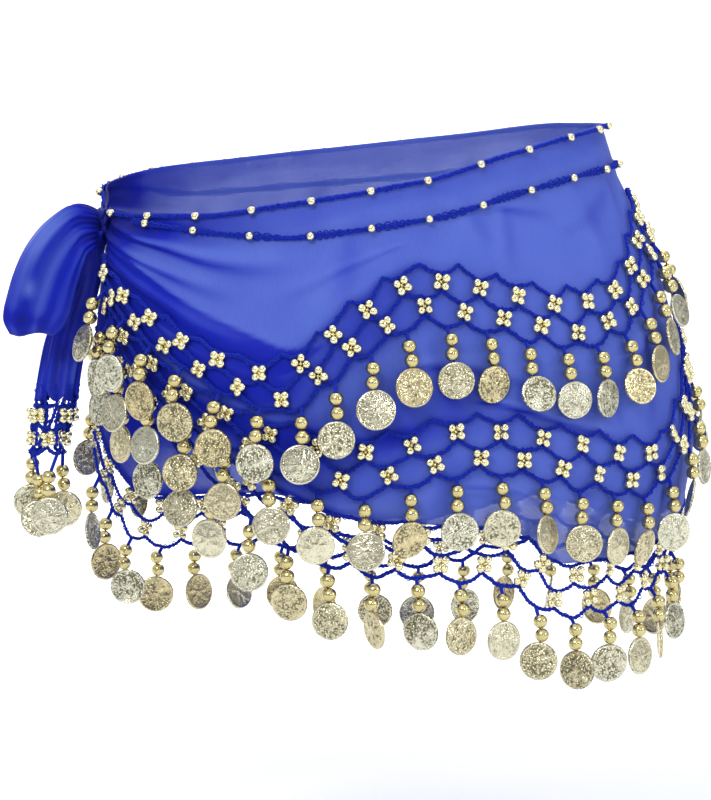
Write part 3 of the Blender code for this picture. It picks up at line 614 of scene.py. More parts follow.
class HipBand(Band):
    """A net band round the hips."""

    def __init__(self, letter, side):
        self.letter = letter
        self.rows = BANDS[letter]
        self.out = CORD_OUT[letter]
        self.repeats = REPEATS[letter][side]
        self.halves = np.arange(2 * self.repeats + 1)
        fine = np.linspace(*NET_STRETCH[side], 2001)
        way = way_along(hip(fine, line_height(self.rows, fine), 0.0))
        self.angles = np.interp(np.linspace(0, way[-1], len(self.halves)), way, fine)

    def angle(self, p):
        return np.interp(p, self.halves, self.angles)

    def height(self, p, offset):
        """Slow sines of the place make the net hang unevenly, nearly alike on each line."""
        angle, phase = self.angle(p), ord(self.letter)
        uneven = UNEVEN * (np.sin(1.9 * p + 0.09 * offset + phase)
                           + 0.7 * np.sin(4.3 * p + 0.13 * offset + 2 * phase))
        return line_height(self.rows, angle) + (offset + uneven) * spacing(angle)

    def point(self, p, offset, out):
        return cloth(self.angle(p), self.height(p, offset), self.out + out)

    def scale(self, p):
        return spacing(self.angle(p))

    def cord(self, p, offset):
        return laid_cord(self.angle(p), self.height(p, offset), self.out)

    def upward(self, p, offset):
        angle, height = self.angle(p), self.height(p, offset)
        return cloth(angle, height + 1, 0) - cloth(angle, height - 1, 0)

    def roots(self):
        """Angle and height of the lower corner of each dangle's root."""
        odd = self.halves[1::2]
        angle = self.angles[odd]
        rise = np.diff(line_height(self.rows, self.angles)) / np.diff(arc_at(self.angles))
        wide = ROOT_HALF * cord_half(angle) / (CORD_WIDE / 2)
        lowest = np.minimum(0, np.minimum(-wide * rise[odd - 1], wide * rise[odd]))
        return angle, self.height(odd, LINE_2[1]) - cord_half(angle) + lowest

    def hang(self, drop):
        """Middle of each dangle at a drop below its root, and its two directions."""
        angle, root = self.roots()
        layer = DANGLE_LAYER[self.letter] * gathered(angle)
        out = DANGLE_OUT[self.letter] + np.maximum(stand_out(angle, level(angle, root)), layer)
        floor = np.maximum(root - drop, np.minimum(root, PLUMB_HEIGHT))
        middle = hip(angle, floor, out)
        middle[:, 2] = root - drop
        side = hip(angle + 0.5, floor, out) - hip(angle - 0.5, floor, out)
        side[:, 2] = 0.0
        side = unit(side)
        return middle, side, stacked(side[:, 1], -side[:, 0], 0.0)

    def twists(self):
        """Turn of each coin: a sine of its number, small where the rows overlap.

        The lower rows turn more, up to the right hip, and have some coins edge-on.
        """
        odd = self.halves[1::2]
        angle, number = self.angles[odd], odd // 2
        layered, free = gathered(angle), fades(140, 158, from_knot(angle))
        if self.letter == "c":
            layered = layered * fades(46, 62, from_knot(angle))
        least = TWIST["a"]
        most = TWIST_LAYERED * layered + (least + (TWIST[self.letter] - least) * free) * (1 - layered)
        every = EDGE_ON_EVERY[self.letter]
        edge_on = (number % every == every - 2) & (layered < 0.01) & (free > 0.9)
        turn = most * np.sin(TWIST_STEP * number + ord(self.letter))
        return np.radians(np.where(edge_on, TWIST_EDGE_ON, turn))


KNOT_MIDDLE = hip(KNOT_ANGLE, KNOT_HEIGHT, KNOT_OUT)


def by_knot(left, near, up):
    """Point at these distances to the left of, nearer than and above the knot's middle."""
    return KNOT_MIDDLE + LEFT * left[..., None] + NEAR * near[..., None] + UP * up[..., None]


def tail_point(turn, height, out):
    """Point of the tail: a pleated, open-backed tube that hangs from the knot."""
    left, near, half_left, half_near = (
        through_rows(TAIL[::-1], k, height) for k in (1, 2, 3, 4))
    angle = np.radians(turn)
    grow = out + TAIL_PLEAT_DEEP * np.cos(angle * TAIL_PLEATS)
    return by_knot(left + (half_left + grow) * np.sin(angle),
                   near - (half_near + grow) * np.cos(angle), height - KNOT_HEIGHT + 0.0 * angle)


class TailBand(Band):
    """The small net at the tail's end."""

    def __init__(self):
        self.letter = "tail"
        self.out = CORD_OUT["c"]
        self.repeats = TAIL_REPEATS
        self.halves = np.arange(2 * TAIL_REPEATS + 1)
        self.turns = np.linspace(*TAIL_TURNS, len(self.halves))

    def turn(self, p):
        return np.interp(p, self.halves, self.turns)

    def height(self, p, offset):
        return TAIL_NET_HEIGHT + offset * TAIL_SCALE + 0.0 * p

    def point(self, p, offset, out):
        return tail_point(self.turn(p), self.height(p, offset), self.out + out)

    def scale(self, p):
        return TAIL_SCALE + 0.0 * p

    def cord(self, p, offset):
        fine = np.linspace(p[0], p[-1], 2 * len(p))
        offset = np.interp(fine, p, offset)
        way = way_along(self.point(fine, offset, 0))
        even = np.interp(np.linspace(0, way[-1], int(way[-1] / STITCH_STEP)), way, fine)
        offset = np.interp(even, fine, offset)
        path = self.point(even, offset, 0)
        return path, unit(self.point(even, offset, 1.0) - path)

    def upward(self, p, offset):
        return np.broadcast_to(UP, (len(p), 3))

    def hang(self, drop):
        """As on the hips, but close together and with the coins about parallel."""
        odd = self.halves[1::2].astype(float)
        root = self.height(odd, LINE_2[1]) - CORD_WIDE / 2 * TAIL_SCALE
        to_left, to_near, lower, twist = np.array(TAIL_DANGLES, float).T
        row_left, row_near = (through_rows(TAIL[::-1], k, root) for k in (1, 2))
        up = root - drop - lower * (drop > 0) - KNOT_HEIGHT
        twist = np.radians(twist)[:, None]
        near = NEAR * np.cos(twist) + LEFT * np.sin(twist)
        middle = by_knot(row_left + to_left, row_near + to_near, up)
        return middle, stacked(-near[:, 1], near[:, 0], 0.0), near

    def twists(self):
        return np.zeros(self.repeats)


def net_line(band, line, cusps_even):
    """One crochet line: arcs that hang between cusps, by half repeat.

    The offset is the low point plus the rest of the way to the cusp times
    (1 - |sine|), which comes to a point at each cusp and is round between.
    """
    p = np.linspace(0, band.halves[-1], 24 * band.halves[-1] + 1)
    wave = np.sin(np.pi * p / 2) if cusps_even else np.cos(np.pi * p / 2)
    cusp, low = line
    return band.cord(p, low + (cusp - low) * (1 - np.abs(wave)))


def flower_places(band, seed):
    """Middles and frames of the flowers' beads, four to a flower, and of the flowers."""
    random = np.random.default_rng(seed)
    inner = band.halves[1:-1].astype(float)
    upper, lower = (LINE_0[1] + LINE_1[0]) / 2, (LINE_1[1] + LINE_2[0]) / 2
    offset = np.where(inner % 2 == 1, upper, lower)
    frames = band.frames(inner, offset)
    middle = band.point(inner, offset, FLOWER_OUT)
    tilt = np.pi / 4 + random.normal(0, FLOWER_TILT, len(inner))
    yaw = random.normal(0, FLOWER_YAW, len(inner))
    reach = FLOWER_REACH * np.clip(band.scale(inner), 0.90, 1.0)
    centres = []
    for corner in range(4):
        turn = tilt + corner * np.pi / 2
        side, up = reach * np.cos(turn), reach * np.sin(turn)
        steps = stacked(side * np.cos(yaw), up, side * np.sin(yaw))
        centres.append(middle + np.einsum("nij,nj->ni", frames, steps))
    return np.concatenate(centres), np.concatenate([frames] * 4), middle - frames[:, :, 2] * EYE_IN, frames


# ---------------------------------------------------------------- knot and bow

def knot_surface():
    """The knot: an ellipsoid drawn in to a cleft on its near side, and its depth of colour, with painted
    shade in the cleft and painted shade and light along the pleats.

    "away" is the angle from the cleft's direction and "round" the angle about it.
    The radius falls towards the cleft as a bell of "away", and carries pleats that
    run into it: sines of "round", strongest a little way out.
    """
    columns, rows = KNOT_GRID
    turn = 2 * np.pi * np.arange(columns)[None, :] / columns
    lean = np.pi * (np.arange(rows) + 0.5)[:, None] / rows
    to_left, to_near, to_up = np.broadcast_arrays(np.cos(turn) * np.sin(lean),
                                                  np.sin(turn) * np.sin(lean), np.cos(lean))
    away = np.arccos(np.clip(to_near, -1, 1))
    round_cleft = np.arctan2(to_up, to_left)
    pleat = np.cos(7 * round_cleft + 0.8 * away) + 0.5 * np.cos(12 * round_cleft + 1.0)
    strong = smooth(0.1, 0.6, away) * smooth(2.9, 1.6, away)
    pull = 0.97 - 0.34 * hump(0, 0.42, away) + 0.055 * pleat * strong
    half_left, half_near, half_up = KNOT_HALF
    grid = by_knot(pull * half_left * to_left, pull * half_near * to_near, pull * half_up * to_up)
    pole = UP * half_up * 0.94
    points, quads, fans = closed_rings(grid, KNOT_MIDDLE + pole, KNOT_MIDDLE - pole)
    # Painted shade: deepest in the cleft, lighter on the pleats' ridges and darker in their troughs; past 1
    # it is the painted cleft shade.
    deep = (1.25 + 0.6 * hump(0, 0.7, away) - 0.12 * pleat).ravel()
    return points, quads.tolist() + fans.tolist(), np.clip([1.3, *deep, 1.3], 0.6, 1.7)


def bow_surface(round_loop, across):
    """The bow loop: down its near layer, round the bottom and up behind.

    Its outline comes from its two edges; the near distance is a sine of the way
    round, plus folds that run along the loop and deepen away from its two ends.
    """
    turn = 2 * np.pi * round_loop
    drop = (1 - np.cos(turn)) / 2
    outer_left, outer_up, inner_left, inner_up = (
        through_rows(BOW_EDGES, k, drop) for k in (1, 2, 3, 4))
    left = inner_left + (outer_left - inner_left) * across
    left = left + BOW_CLEFT + (BOW_START - BOW_CLEFT) * smooth(0, 0.16, drop)
    up = inner_up + (outer_up - inner_up) * across + 1.6 * hump(1, 0.16, across) * smooth(0.80, 1.0, drop)
    up = up + 1.5 * np.sin(5 * across) * smooth(0.8, 1, drop)
    swell = np.sin(turn)
    fold = BOW_FOLD_DEEP * np.sin(2 * np.pi * BOW_FOLDS * across)
    for middle, deep, wide in BOW_PLEATS:
        fold = fold + deep * hump(middle + 0.05 * np.sin(3 * drop + 9 * middle), wide, across)
    gather = 0.9 * np.sin(2 * np.pi * 8 * across + 2 * drop) * hump(0, 0.22, drop)
    over = BOW_OVER * np.cos(turn / 2) * (1 - 0.35 * hump(0, 0.05, drop))
    near = over + BOW_SWELL * swell + fold * swell ** 2 * np.sign(swell) + gather * swell
    return by_knot(left, near, up)


def bow_depth_and_shade(across, drop):
    """How deep the bow's colour is, with painted shade and light.

    It is fullest at the knot, with painted shade in the folds that lie in, along the foot and along the
    inner edge, and painted light on the folds that stand out; it is paler in a patch by the outer edge and
    in a band below it.
    """
    # Painted light on the pleats that stand out, painted shade in those that lie in.
    folds = sum(-0.30 * deep * hump(middle, 1.2 * wide, across) for middle, deep, wide in BOW_PLEATS)
    patch = 0.75 * smooth(0.70, 0.80, across) * hump(0.36, 0.17, drop)
    band = 0.85 * hump(0.70, 0.10, across) * hump(0.66, 0.05, drop)
    # Painted shade along the foot and along the inner edge.
    foot = 0.35 * smooth(0.28, 0.40, across) * hump(0.87, 0.06, drop)
    edge = 0.40 * hump(0.10, 0.07, across) * smooth(0.0, 0.3, drop)
    return np.clip(0.78 + folds - patch - band + foot + edge + 0.6 * fades(0.0, 0.22, drop), 0, 1.4)


def cloth_depth_and_shade(around, place, height):
    """How deep the cloth's colour is, with painted shade and light: 1 where the cloth is double or drawn in,
    less where the net bunches it, 0 where single.

    Painted shade lies beside the fold ridges, broadly towards the knot, round the net bands and below band
    A's coins, with painted light on the ridges; the cloth is also darker at the lower left. It goes past 1
    where the gathers close on one another at the knot, as painted shade in the cleft.
    """
    turned, arcs = from_knot(around), arc_at(around)
    folded = through_rows(DOUBLED, 1, turned)
    double = smooth(-0.015, 0.02, place - folded) * fades(0.98, 1.04, place) * (turned < DOUBLED_ENDS)
    drawn = np.maximum(fades(13, 27, turned), fades(14, 58, turned) * fades(0.24, 0.35, place))
    gathers = np.maximum(0.82 * double, drawn)
    strip = (0.22 + 0.35 * fades(20, 80, turned)) * fades(0.12, 0.24, place)
    # Painted shade: broadly darker towards the knot.
    broad = 0.16 * fades(70, 125, turned)
    # Darker round each net band: partly cloth bunched by the net, partly painted shadow of its cords and
    # beads.
    net_bunching_and_shadow = 0.0 * around
    for rows in BANDS.values():
        drop = (line_height(rows, around) - height) / spacing(around)
        net_bunching_and_shadow = np.maximum(net_bunching_and_shadow, smooth(-12, -5, drop) * fades(20, 30, drop))
    net_bunching_and_shadow = net_bunching_and_shadow * (0.10 + 0.62 * fades(66, 102, turned))
    low_left = 0.45 * fades(44, 78, turned) * smooth(0.8, 1.0, place)
    # Darker below band A's coins: partly gathered cloth, partly painted shadow of the coins.
    bunching_and_coin_shadow = 0.62 * smooth(58, 66, turned) * fades(88, 116, turned) * hump(1.80, 0.20, place)
    patchy = 0.72 + 0.28 * np.sin(arcs / 19 + 2.6 * place) * np.sin(arcs / 31 - 4.1 * place)
    # fold_shade adds painted shade beside the ridges and painted light on them.
    mask = np.maximum(gathers, strip) + broad + fold_shade(around, place) * (1 - 0.7 * gathers)
    mask = np.clip(mask + (net_bunching_and_shadow + bunching_and_coin_shadow + low_left) * patchy, 0, 1)
    # Past 1, painted shade in the cleft at the knot.
    knot_cleft_shade = 0.6 * fades(3, 17, turned)
    return mask + np.maximum(knot_cleft_shade, 0.35 * fades(8, 40, turned) * fades(0.22, 0.33, place))


# ---------------------------------------------------------------- materials

def feed(tree, node, inputs):
    """Give a node's inputs, by name or number, another node's socket or a value each."""
    for name, value in inputs.items():
        if isinstance(value, bpy.types.NodeSocket):
            tree.links.new(value, node.inputs[name])
        else:
            node.inputs[name].default_value = value


def add_node(tree, kind, inputs, **properties):
    """A node of a kind, with its properties set and its inputs fed; returns its outputs."""
    node = tree.nodes.new("ShaderNode" + kind)
    for name, value in properties.items():
        setattr(node, name, value)
    feed(tree, node, inputs)
    return node.outputs


def new_group(name, inputs, outputs):
    """An empty node group with named number sockets; returns what it is given and makes."""
    tree = bpy.data.node_groups.new(name, "ShaderNodeTree")
    for label, default in inputs.items():
        kind = "NodeSocketVector" if label == "Vector" else "NodeSocketFloat"
        socket = tree.interface.new_socket(label, in_out="INPUT", socket_type=kind)
        if default is not None:
            socket.default_value = default
    for label in outputs:
        tree.interface.new_socket(label, in_out="OUTPUT", socket_type="NodeSocketFloat")
    return tree, tree.nodes.new("NodeGroupInput").outputs, tree.nodes.new("NodeGroupOutput")


def arithmetic(tree, operation, *values, clamp=False):
    """One step of arithmetic on values and sockets."""
    return add_node(tree, "Math", dict(enumerate(values)), operation=operation, use_clamp=clamp)[0]


def colour_mix(tree, mask, first, second):
    """A mix of two colours by a mask; each colour is a value or another socket."""
    first, second = (colour if isinstance(colour, bpy.types.NodeSocket) else (*colour, 1.0)
                     for colour in (first, second))
    return add_node(tree, "Mix", {"Factor": mask, 6: first, 7: second}, data_type="RGBA")[2]


def mark(tree, name):
    """A piece's point attribute."""
    return add_node(tree, "Attribute", {}, attribute_name=name)["Fac"]


def bump(tree, height, depth, strength):
    """A normal from a height; depth is its real height in metres."""
    return add_node(tree, "Bump", {"Height": height, "Distance": depth, "Strength": strength})[0]


def crinkle_group():
    """Yarn and crinkle: fine noise drawn out along the cloth, over a broad unevenness."""
    inputs = {"Vector": None, "Yarn": 1.0, "Broad": 0.02, "Stretch": 0.3}
    tree, given, made = new_group("yarn_and_crinkle", inputs, ("Height", "Tone"))
    place = given["Vector"]
    stretch = add_node(tree, "CombineXYZ", {"X": 1.0, "Y": given["Stretch"], "Z": 1.0})
    drawn = add_node(tree, "VectorMath", {0: place, 1: stretch[0]}, operation="MULTIPLY")
    yarn = add_node(tree, "TexNoise", {"Vector": drawn[0], "Scale": given["Yarn"], "Detail": 3.0})
    broad = add_node(tree, "TexNoise", {"Vector": place, "Scale": given["Broad"], "Detail": 2.0})
    feed(tree, made, {"Height": yarn[0], "Tone": broad[0]})
    return tree


def plating_group():
    """Plating: fine dents as a height, and a cloudy mask of dull and bright places."""
    inputs = {"Vector": None, "Dents": 900.0, "Clouds": 120.0}
    tree, given, made = new_group("plating", inputs, ("Height", "Dull"))
    place = given["Vector"]
    dents = add_node(tree, "TexVoronoi", {"Vector": place, "Scale": given["Dents"]}, feature="SMOOTH_F1")
    clouds = add_node(tree, "TexNoise", {"Vector": place, "Scale": given["Clouds"], "Detail": 4.0})
    feed(tree, made, {"Height": dents["Distance"], "Dull": clouds[0]})
    return tree


def new_material(name, **inputs):
    """A material, its tree and its shader; the shader's inputs are named with "_" for a space."""
    made = bpy.data.materials.new(name)
    made.use_nodes = True
    shader = made.node_tree.nodes["Principled BSDF"]
    feed(made.node_tree, shader, {label.replace("_", " "): value for label, value in inputs.items()})
    return made, made.node_tree, shader


def pattern(tree, group, place=None, **values):
    """A shared group's outputs, with its own values, on a place or the piece's coordinates."""
    place = place or add_node(tree, "TexCoord", {})["Object"]
    return add_node(tree, "Group", {"Vector": place, **values}, node_tree=group)


def chiffon_material(settings, crinkle):
    """Sheer chiffon: lighter where single, deeper and less sheer where folded or drawn in and where painted
    shade lies on it, darkest in the painted shade of the clefts.
    """
    made, tree, shader = new_material(
        "sheer_chiffon", Roughness=0.55, Specular_IOR_Level=0.12, Sheen_Weight=0.06,
        Sheen_Roughness=0.4, Sheen_Tint=(0.35, 0.48, 1.0, 1.0))
    place = add_node(tree, "UVMap", {}, uv_map="cloth_mm")[0]
    yarn = pattern(tree, crinkle, place, Yarn=1.1, Broad=0.035, Stretch=0.18)
    uneven = arithmetic(tree, "MULTIPLY_ADD", yarn["Tone"], 0.36, -0.18)
    aslant = arithmetic(tree, "MULTIPLY", add_node(tree, "LayerWeight", {"Blend": 0.3})["Facing"], 0.5)
    # The deep mark carries layers of cloth and painted shade and light; past 1 it gives the painted cleft
    # shade.
    layers_and_shade = arithmetic(tree, "ADD", arithmetic(tree, "ADD", mark(tree, "deep"), uneven), aslant)
    folded = arithmetic(tree, "MULTIPLY", layers_and_shade, 1.0, clamp=True)
    cleft_shade = arithmetic(tree, "MULTIPLY_ADD", layers_and_shade, 1.6, -1.6, clamp=True)
    # From the single cloth's colour to the colour of folded cloth and painted shade.
    spread = colour_mix(tree, folded, settings.lit_colour, settings.folded_and_shaded_colour)
    more = settings.deep_cover - settings.cover
    cover = arithmetic(tree, "MULTIPLY_ADD", folded, more, settings.cover)
    thread = arithmetic(tree, "MULTIPLY_ADD", yarn["Height"], 0.16, -0.08)
    # Painted shade in the clefts where the gathers close.
    feed(tree, shader, {
        "Base Color": colour_mix(tree, cleft_shade, spread, settings.cleft_shade_colour),
        "Alpha": arithmetic(tree, "ADD", cover, thread, clamp=True),
        "Normal": bump(tree, yarn["Height"], 0.00025, 0.35)})
    return made


def crochet_material(settings, crinkle):
    """Dark blue crochet cord, matt and slightly furry."""
    made, tree, shader = new_material(
        "crochet_yarn", Roughness=0.8, Specular_IOR_Level=0.1, Sheen_Weight=0.12,
        Sheen_Tint=(0.2, 0.3, 1.0, 1.0))
    fibre = pattern(tree, crinkle, Yarn=2200.0, Broad=160.0, Stretch=1.0)
    lit = arithmetic(tree, "MULTIPLY_ADD", fibre["Height"], 1.6, -0.35, clamp=True)
    feed(tree, shader, {
        "Base Color": colour_mix(tree, lit, settings.shade_colour, settings.colour),
        "Normal": bump(tree, fibre["Height"], 0.0003, 0.6)})
    return made


def bead_material(settings, plating):
    """Pale gold plating on round beads, slightly dull in places; paler on the small ones, a painted paler
    reflection.
    """
    made, tree, shader = new_material("gilt_bead", Metallic=1.0)
    worn = pattern(tree, plating, Dents=500.0, Clouds=260.0)
    gold = colour_mix(tree, worn["Dull"], settings.bead_colour, settings.bead_dull_colour)
    # The small beads get a paler colour: a painted paler reflection.
    feed(tree, shader, {
        "Base Color": colour_mix(tree, mark(tree, "pale"), gold, settings.small_bead_colour),
        "Roughness": arithmetic(tree, "MULTIPLY_ADD", worn["Dull"], 0.18, 0.14),
        "Normal": bump(tree, worn["Height"], 0.0001, 0.15)})
    return made


def coin_material(settings, plating):
    """Embossed coin: bright on its relief, dark in its low ground with tarnish and painted shade, some coins
    warmer.
    """
    made, tree, shader = new_material("embossed_coin", Metallic=1.0)
    worn = pattern(tree, plating, Dents=1050.0, Clouds=170.0)
    metal = colour_mix(tree, mark(tree, "tone"), settings.coin_colour, settings.coin_warm_colour)
    # The low ground is darkened in dents and recesses, in cloudy patches: partly tarnish, partly painted
    # shade.
    ground = arithmetic(tree, "MULTIPLY_ADD", worn["Height"], 2.2, -0.55)
    low = arithmetic(tree, "SUBTRACT", 1.1, mark(tree, "relief"))
    cloudy = arithmetic(tree, "MULTIPLY_ADD", worn["Dull"], 5.0, -1.7, clamp=True)
    tarnish_and_shade = arithmetic(tree, "MULTIPLY", arithmetic(tree, "MULTIPLY", ground, low), cloudy)
    tarnish_and_shade = arithmetic(tree, "MULTIPLY", tarnish_and_shade, 1.7, clamp=True)
    grain = arithmetic(tree, "MULTIPLY", worn["Height"], low)
    feed(tree, shader, {
        "Base Color": colour_mix(tree, tarnish_and_shade, metal, settings.coin_tarnish_and_shade_colour),
        "Roughness": arithmetic(tree, "MULTIPLY_ADD", tarnish_and_shade, 0.25, 0.22),
        "Normal": bump(tree, arithmetic(tree, "SUBTRACT", 1.0, grain), 0.0006, 0.75)})
    return made


def shared_material(slot):
    """A slot's material, made once, on first use, from the scene's settings."""
    scene = bpy.context.scene
    crinkle, plating = ("yarn_and_crinkle", crinkle_group), ("plating", plating_group)
    name, make, settings, (group_name, make_group) = {
        "chiffon": ("sheer_chiffon", chiffon_material, scene.scarf_cloth, crinkle),
        "crochet_cord": ("crochet_yarn", crochet_material, scene.scarf_cord, crinkle),
        "gilt_metal": ("gilt_bead", bead_material, scene.scarf_metal, plating),
        "coin_metal": ("embossed_coin", coin_material, scene.scarf_metal, plating)}[slot]
    if name in bpy.data.materials:
        return bpy.data.materials[name]
    return make(settings, bpy.data.node_groups.get(group_name) or make_group())


# ---------------------------------------------------------------- settings

def colour_setting(name, description, default):
    return bpy.props.FloatVectorProperty(name=name, description=description, default=default,
                                         subtype="COLOR", min=0.0, max=1.0, size=3)


def length_setting(name, description, default):
    return bpy.props.FloatProperty(name=name, description=description, default=default,
                                   subtype="DISTANCE", unit="LENGTH", min=0.0)


def share_setting(name, description, default):
    return bpy.props.FloatProperty(name=name, description=description, default=default,
                                   subtype="FACTOR", min=0.0, max=1.0)


class ScarfClothSettings(bpy.types.PropertyGroup):
    thickness: length_setting("Thickness", "Thickness of the chiffon", 0.00045)
    lit_colour: colour_setting("Single cloth", "Colour of one layer of chiffon", (0.098, 0.155, 0.60))
    # Colour of folded or drawn-in cloth, also used for the painted shade on the cloth.
    folded_and_shaded_colour: colour_setting(
        "Folded cloth", "Colour where the chiffon is folded or drawn in", (0.004, 0.013, 0.37))
    # Painted shade in the clefts where the gathers close on one another.
    cleft_shade_colour: colour_setting("Cleft", "Colour where gathers close on one another", (0.001, 0.003, 0.14))
    cover: share_setting("Cover", "How much one face of single cloth hides", 0.76)
    deep_cover: share_setting("Folded cover", "How much a face of folded cloth hides", 0.95)


class ScarfCordSettings(bpy.types.PropertyGroup):
    width: length_setting("Width", "Width of a crochet cord", CORD_WIDE * MM)
    colour: colour_setting("Yarn", "Colour of the yarn", (0.014, 0.038, 0.50))
    shade_colour: colour_setting("Yarn shade", "Colour between the yarn's fibres", (0.004, 0.012, 0.27))


class ScarfMetalSettings(bpy.types.PropertyGroup):
    small_bead: length_setting("Small bead", "Width of the flowers' beads", 0.0046)
    large_bead: length_setting("Large bead", "Width of the dangles' beads", 0.0077)
    coin: length_setting("Coin", "Width of a coin", 0.0199)
    coin_relief: length_setting("Relief", "Height of a coin's relief", 0.00045)
    bead_colour: colour_setting("Bead", "Colour of bright beads", (0.82, 0.73, 0.38))
    # A paler colour of the same gilt metal: a painted paler reflection on the small beads.
    small_bead_colour: colour_setting("Small bead metal", "Colour of the small beads", (0.87, 0.80, 0.49))
    bead_dull_colour: colour_setting("Dull bead", "Colour of dull beads", (0.54, 0.44, 0.17))
    coin_colour: colour_setting("Coin metal", "Colour of most coins", (0.81, 0.79, 0.61))
    coin_warm_colour: colour_setting("Warm coin", "Colour of the warmest coins", (0.73, 0.60, 0.30))
    # The low ground: partly tarnish, partly painted shade in the recesses.
    coin_tarnish_and_shade_colour: colour_setting("Coin ground", "Colour of a coin's low ground", (0.20, 0.185, 0.11))


class ScarfStageSettings(bpy.types.PropertyGroup):
    distance: length_setting("Camera distance", "From the middle of the view to the camera", 2.2)
    floor: length_setting("Floor", "Depth of the floor below the waist opening", 0.36)
    tone: colour_setting("Floor tone", "Colour of the floor and backdrop", (0.86, 0.865, 0.88))


# ---------------------------------------------------------------- operators

class SCARF_OT_cloth(bpy.types.Operator):
    """Lay the two stretches of chiffon round the hips"""
    bl_idname = "scarf.cloth"
    bl_label = "Chiffon"

    def execute(self, context):
        for side, (start, end) in CLOTH_STRETCH.items():
            columns, rows = CLOTH_GRID[side]
            arcs = np.linspace(arc_at(start), arc_at(end), columns)
            around = np.broadcast_to(angle_at(arcs), (rows, columns))
            place = np.linspace(0, 3, rows)[:, None]
            lines = cloth_lines(around)
            lines[3] = lines[3] + HEM_LINE_0[0] * spacing(around) - SEAM
            height = lines[0] + sum((lines[k + 1] - lines[k]) * np.clip(place - k, 0, 1) for k in range(3))
            piece = lay_cloth(f"chiffon_{side}", cloth(around, height, 0.0), stacked(arcs, height),
                              cloth_depth_and_shade(around, place, height))
            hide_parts(f"cloth_{side}")
        return {"FINISHED"}


class SCARF_OT_edging(bpy.types.Operator):
    """Sew the two crochet lines along the top, with their small beads"""
    bl_idname = "scarf.edging"
    bl_label = "Top lines"

    def execute(self, context):
        on_the_edge = tuple((angle, 0) for angle, _ in BEAD_LINE)
        lines = (("edge_cord", CLOTH_STRETCH, on_the_edge, (-0.5,)),
                 ("bead_line", BEAD_LINE_STRETCH, BEAD_LINE, (1, -1)))
        beads = []
        for name, stretch, drops, loops in lines:
            for side, (start, end) in stretch.items():
                angle = np.linspace(start, end, 600)
                drop = through_rows(drops, 1, angle) + CORD_WIDE / 2 + SEAM
                path, out = laid_cord(angle, line_height(TOP_EDGE, angle) - drop, CORD_OUT["edge"])
                looped = [picots(path, out, loop * PICOT_RISE) for loop in loops]
                points, faces = joined([plait(path, out)] + looped)
                piece = new_piece(f"{name}_{side}_crochet", points, faces, "crochet_cord")
                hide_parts(f"{name}_{side}")
                way = np.arange(len(path)) * STITCH_STEP
                nearest = np.searchsorted(way, np.arange(EDGE_BEAD_STEP * 0.4, way[-1], EDGE_BEAD_STEP))
                beads.append(path[nearest] + out[nearest] * EDGE_BEAD_OUT)
        middle = np.concatenate(beads)
        count = len(middle)
        half = context.scene.scarf_metal.small_bead / MM / 2
        points, faces = copies(SMALL_BEAD, middle, np.broadcast_to(np.eye(3), (count, 3, 3)),
                               np.full((count, 3), half))
        new_piece("top_line_beads", points, faces, "gilt_metal", pale=np.ones(len(points)))
        return {"FINISHED"}


def net_and_flowers(band, name, first_line, seed):
    """Two crochet lines of a band as one mesh, and the bead flowers as another."""
    share = np.mean(band.scale(band.halves)) ** 0.3
    points, faces = joined([plait(*net_line(band, first_line, True), share),
                            plait(*net_line(band, LINE_1, False), share)])
    net = new_piece(f"{name}_crochet", points, faces, "crochet_cord")
    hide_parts(name)
    centres, frames, middles, middle_frames = flower_places(band, seed)
    half = bpy.context.scene.scarf_metal.small_bead / MM / 2
    size = half * np.random.default_rng(seed + 100).uniform(0.93, 1.07, len(centres))
    petals = copies(SMALL_BEAD, centres, frames, stacked(size, size, size * 0.92))
    eyes = copies(EYE_BEAD, middles, middle_frames, np.full((len(middles), 3), half * EYE_SHARE))
    points, faces = joined([petals, eyes])
    pale = np.repeat([1, 0], [len(petals[0]), len(eyes[0])])
    flowers = new_piece(f"{name}_flowers", points, faces, "gilt_metal", pale=pale)
    return [net, flowers]


def coin_shape(relief):
    """A coin: rings from its front's middle out to the rim and in again behind.

    The relief is a raised rim, a ring of dots, a petal pattern and a boss, each a
    function of the radius and the turn. Returns the shape and its relief, 0 to 1.
    """
    sides, dots, petals = 28, 14, 7
    thick, dish = 0.45, 0.75
    front = np.array([0.13, 0.26, 0.40, 0.53, 0.65, 0.76, 0.84, 0.92, 0.98])
    r = np.concatenate([front, [1.0, 1.0], front[::-1]])[:, None]
    face = np.repeat([1, 0.55, -0.55, -1], [len(front), 1, 1, len(front)])[:, None]
    t = 2 * np.pi * np.arange(sides)[None, :] / sides
    ring_of_dots = 0.6 * hump(0.78, 0.06, r) * np.cos(dots * t).clip(0)
    flower = 0.8 * hump(0.45, 0.19, r) * np.cos(petals * t + 0.9 * np.sign(face)).clip(0)
    height = 0.9 * hump(0.93, 0.05, r) + ring_of_dots + flower + 0.9 * hump(0.0, 0.16, r)
    height = np.where(np.abs(face) < 1, 0, height)
    depth = face * (thick + relief * height) + dish * (1 - r * r)
    rings, middle = stacked(r * np.cos(t), r * np.sin(t), depth), thick + relief
    shape = closed_rings(rings, [0, 0, dish + middle], [0, 0, dish - middle])
    return shape, np.concatenate([[1.0], np.clip(height, 0, 1).ravel(), [1.0]])


def thread_between(top, foot, radius):
    """Short threads of six sides, one from each top to its foot."""
    points, quads, fans = turned_shape([0, radius, radius, radius, 0], [0, 0.02, 0.5, 0.98, 1.0], 6)
    up = unit(top - foot)
    side = unit(np.cross(np.broadcast_to(NEAR, up.shape), up))
    size = stacked(1, 1, np.linalg.norm(top - foot, axis=-1))
    return copies((points, quads[:, ::-1], fans[:, ::-1]), foot, stacked(side, np.cross(up, side), up), size)


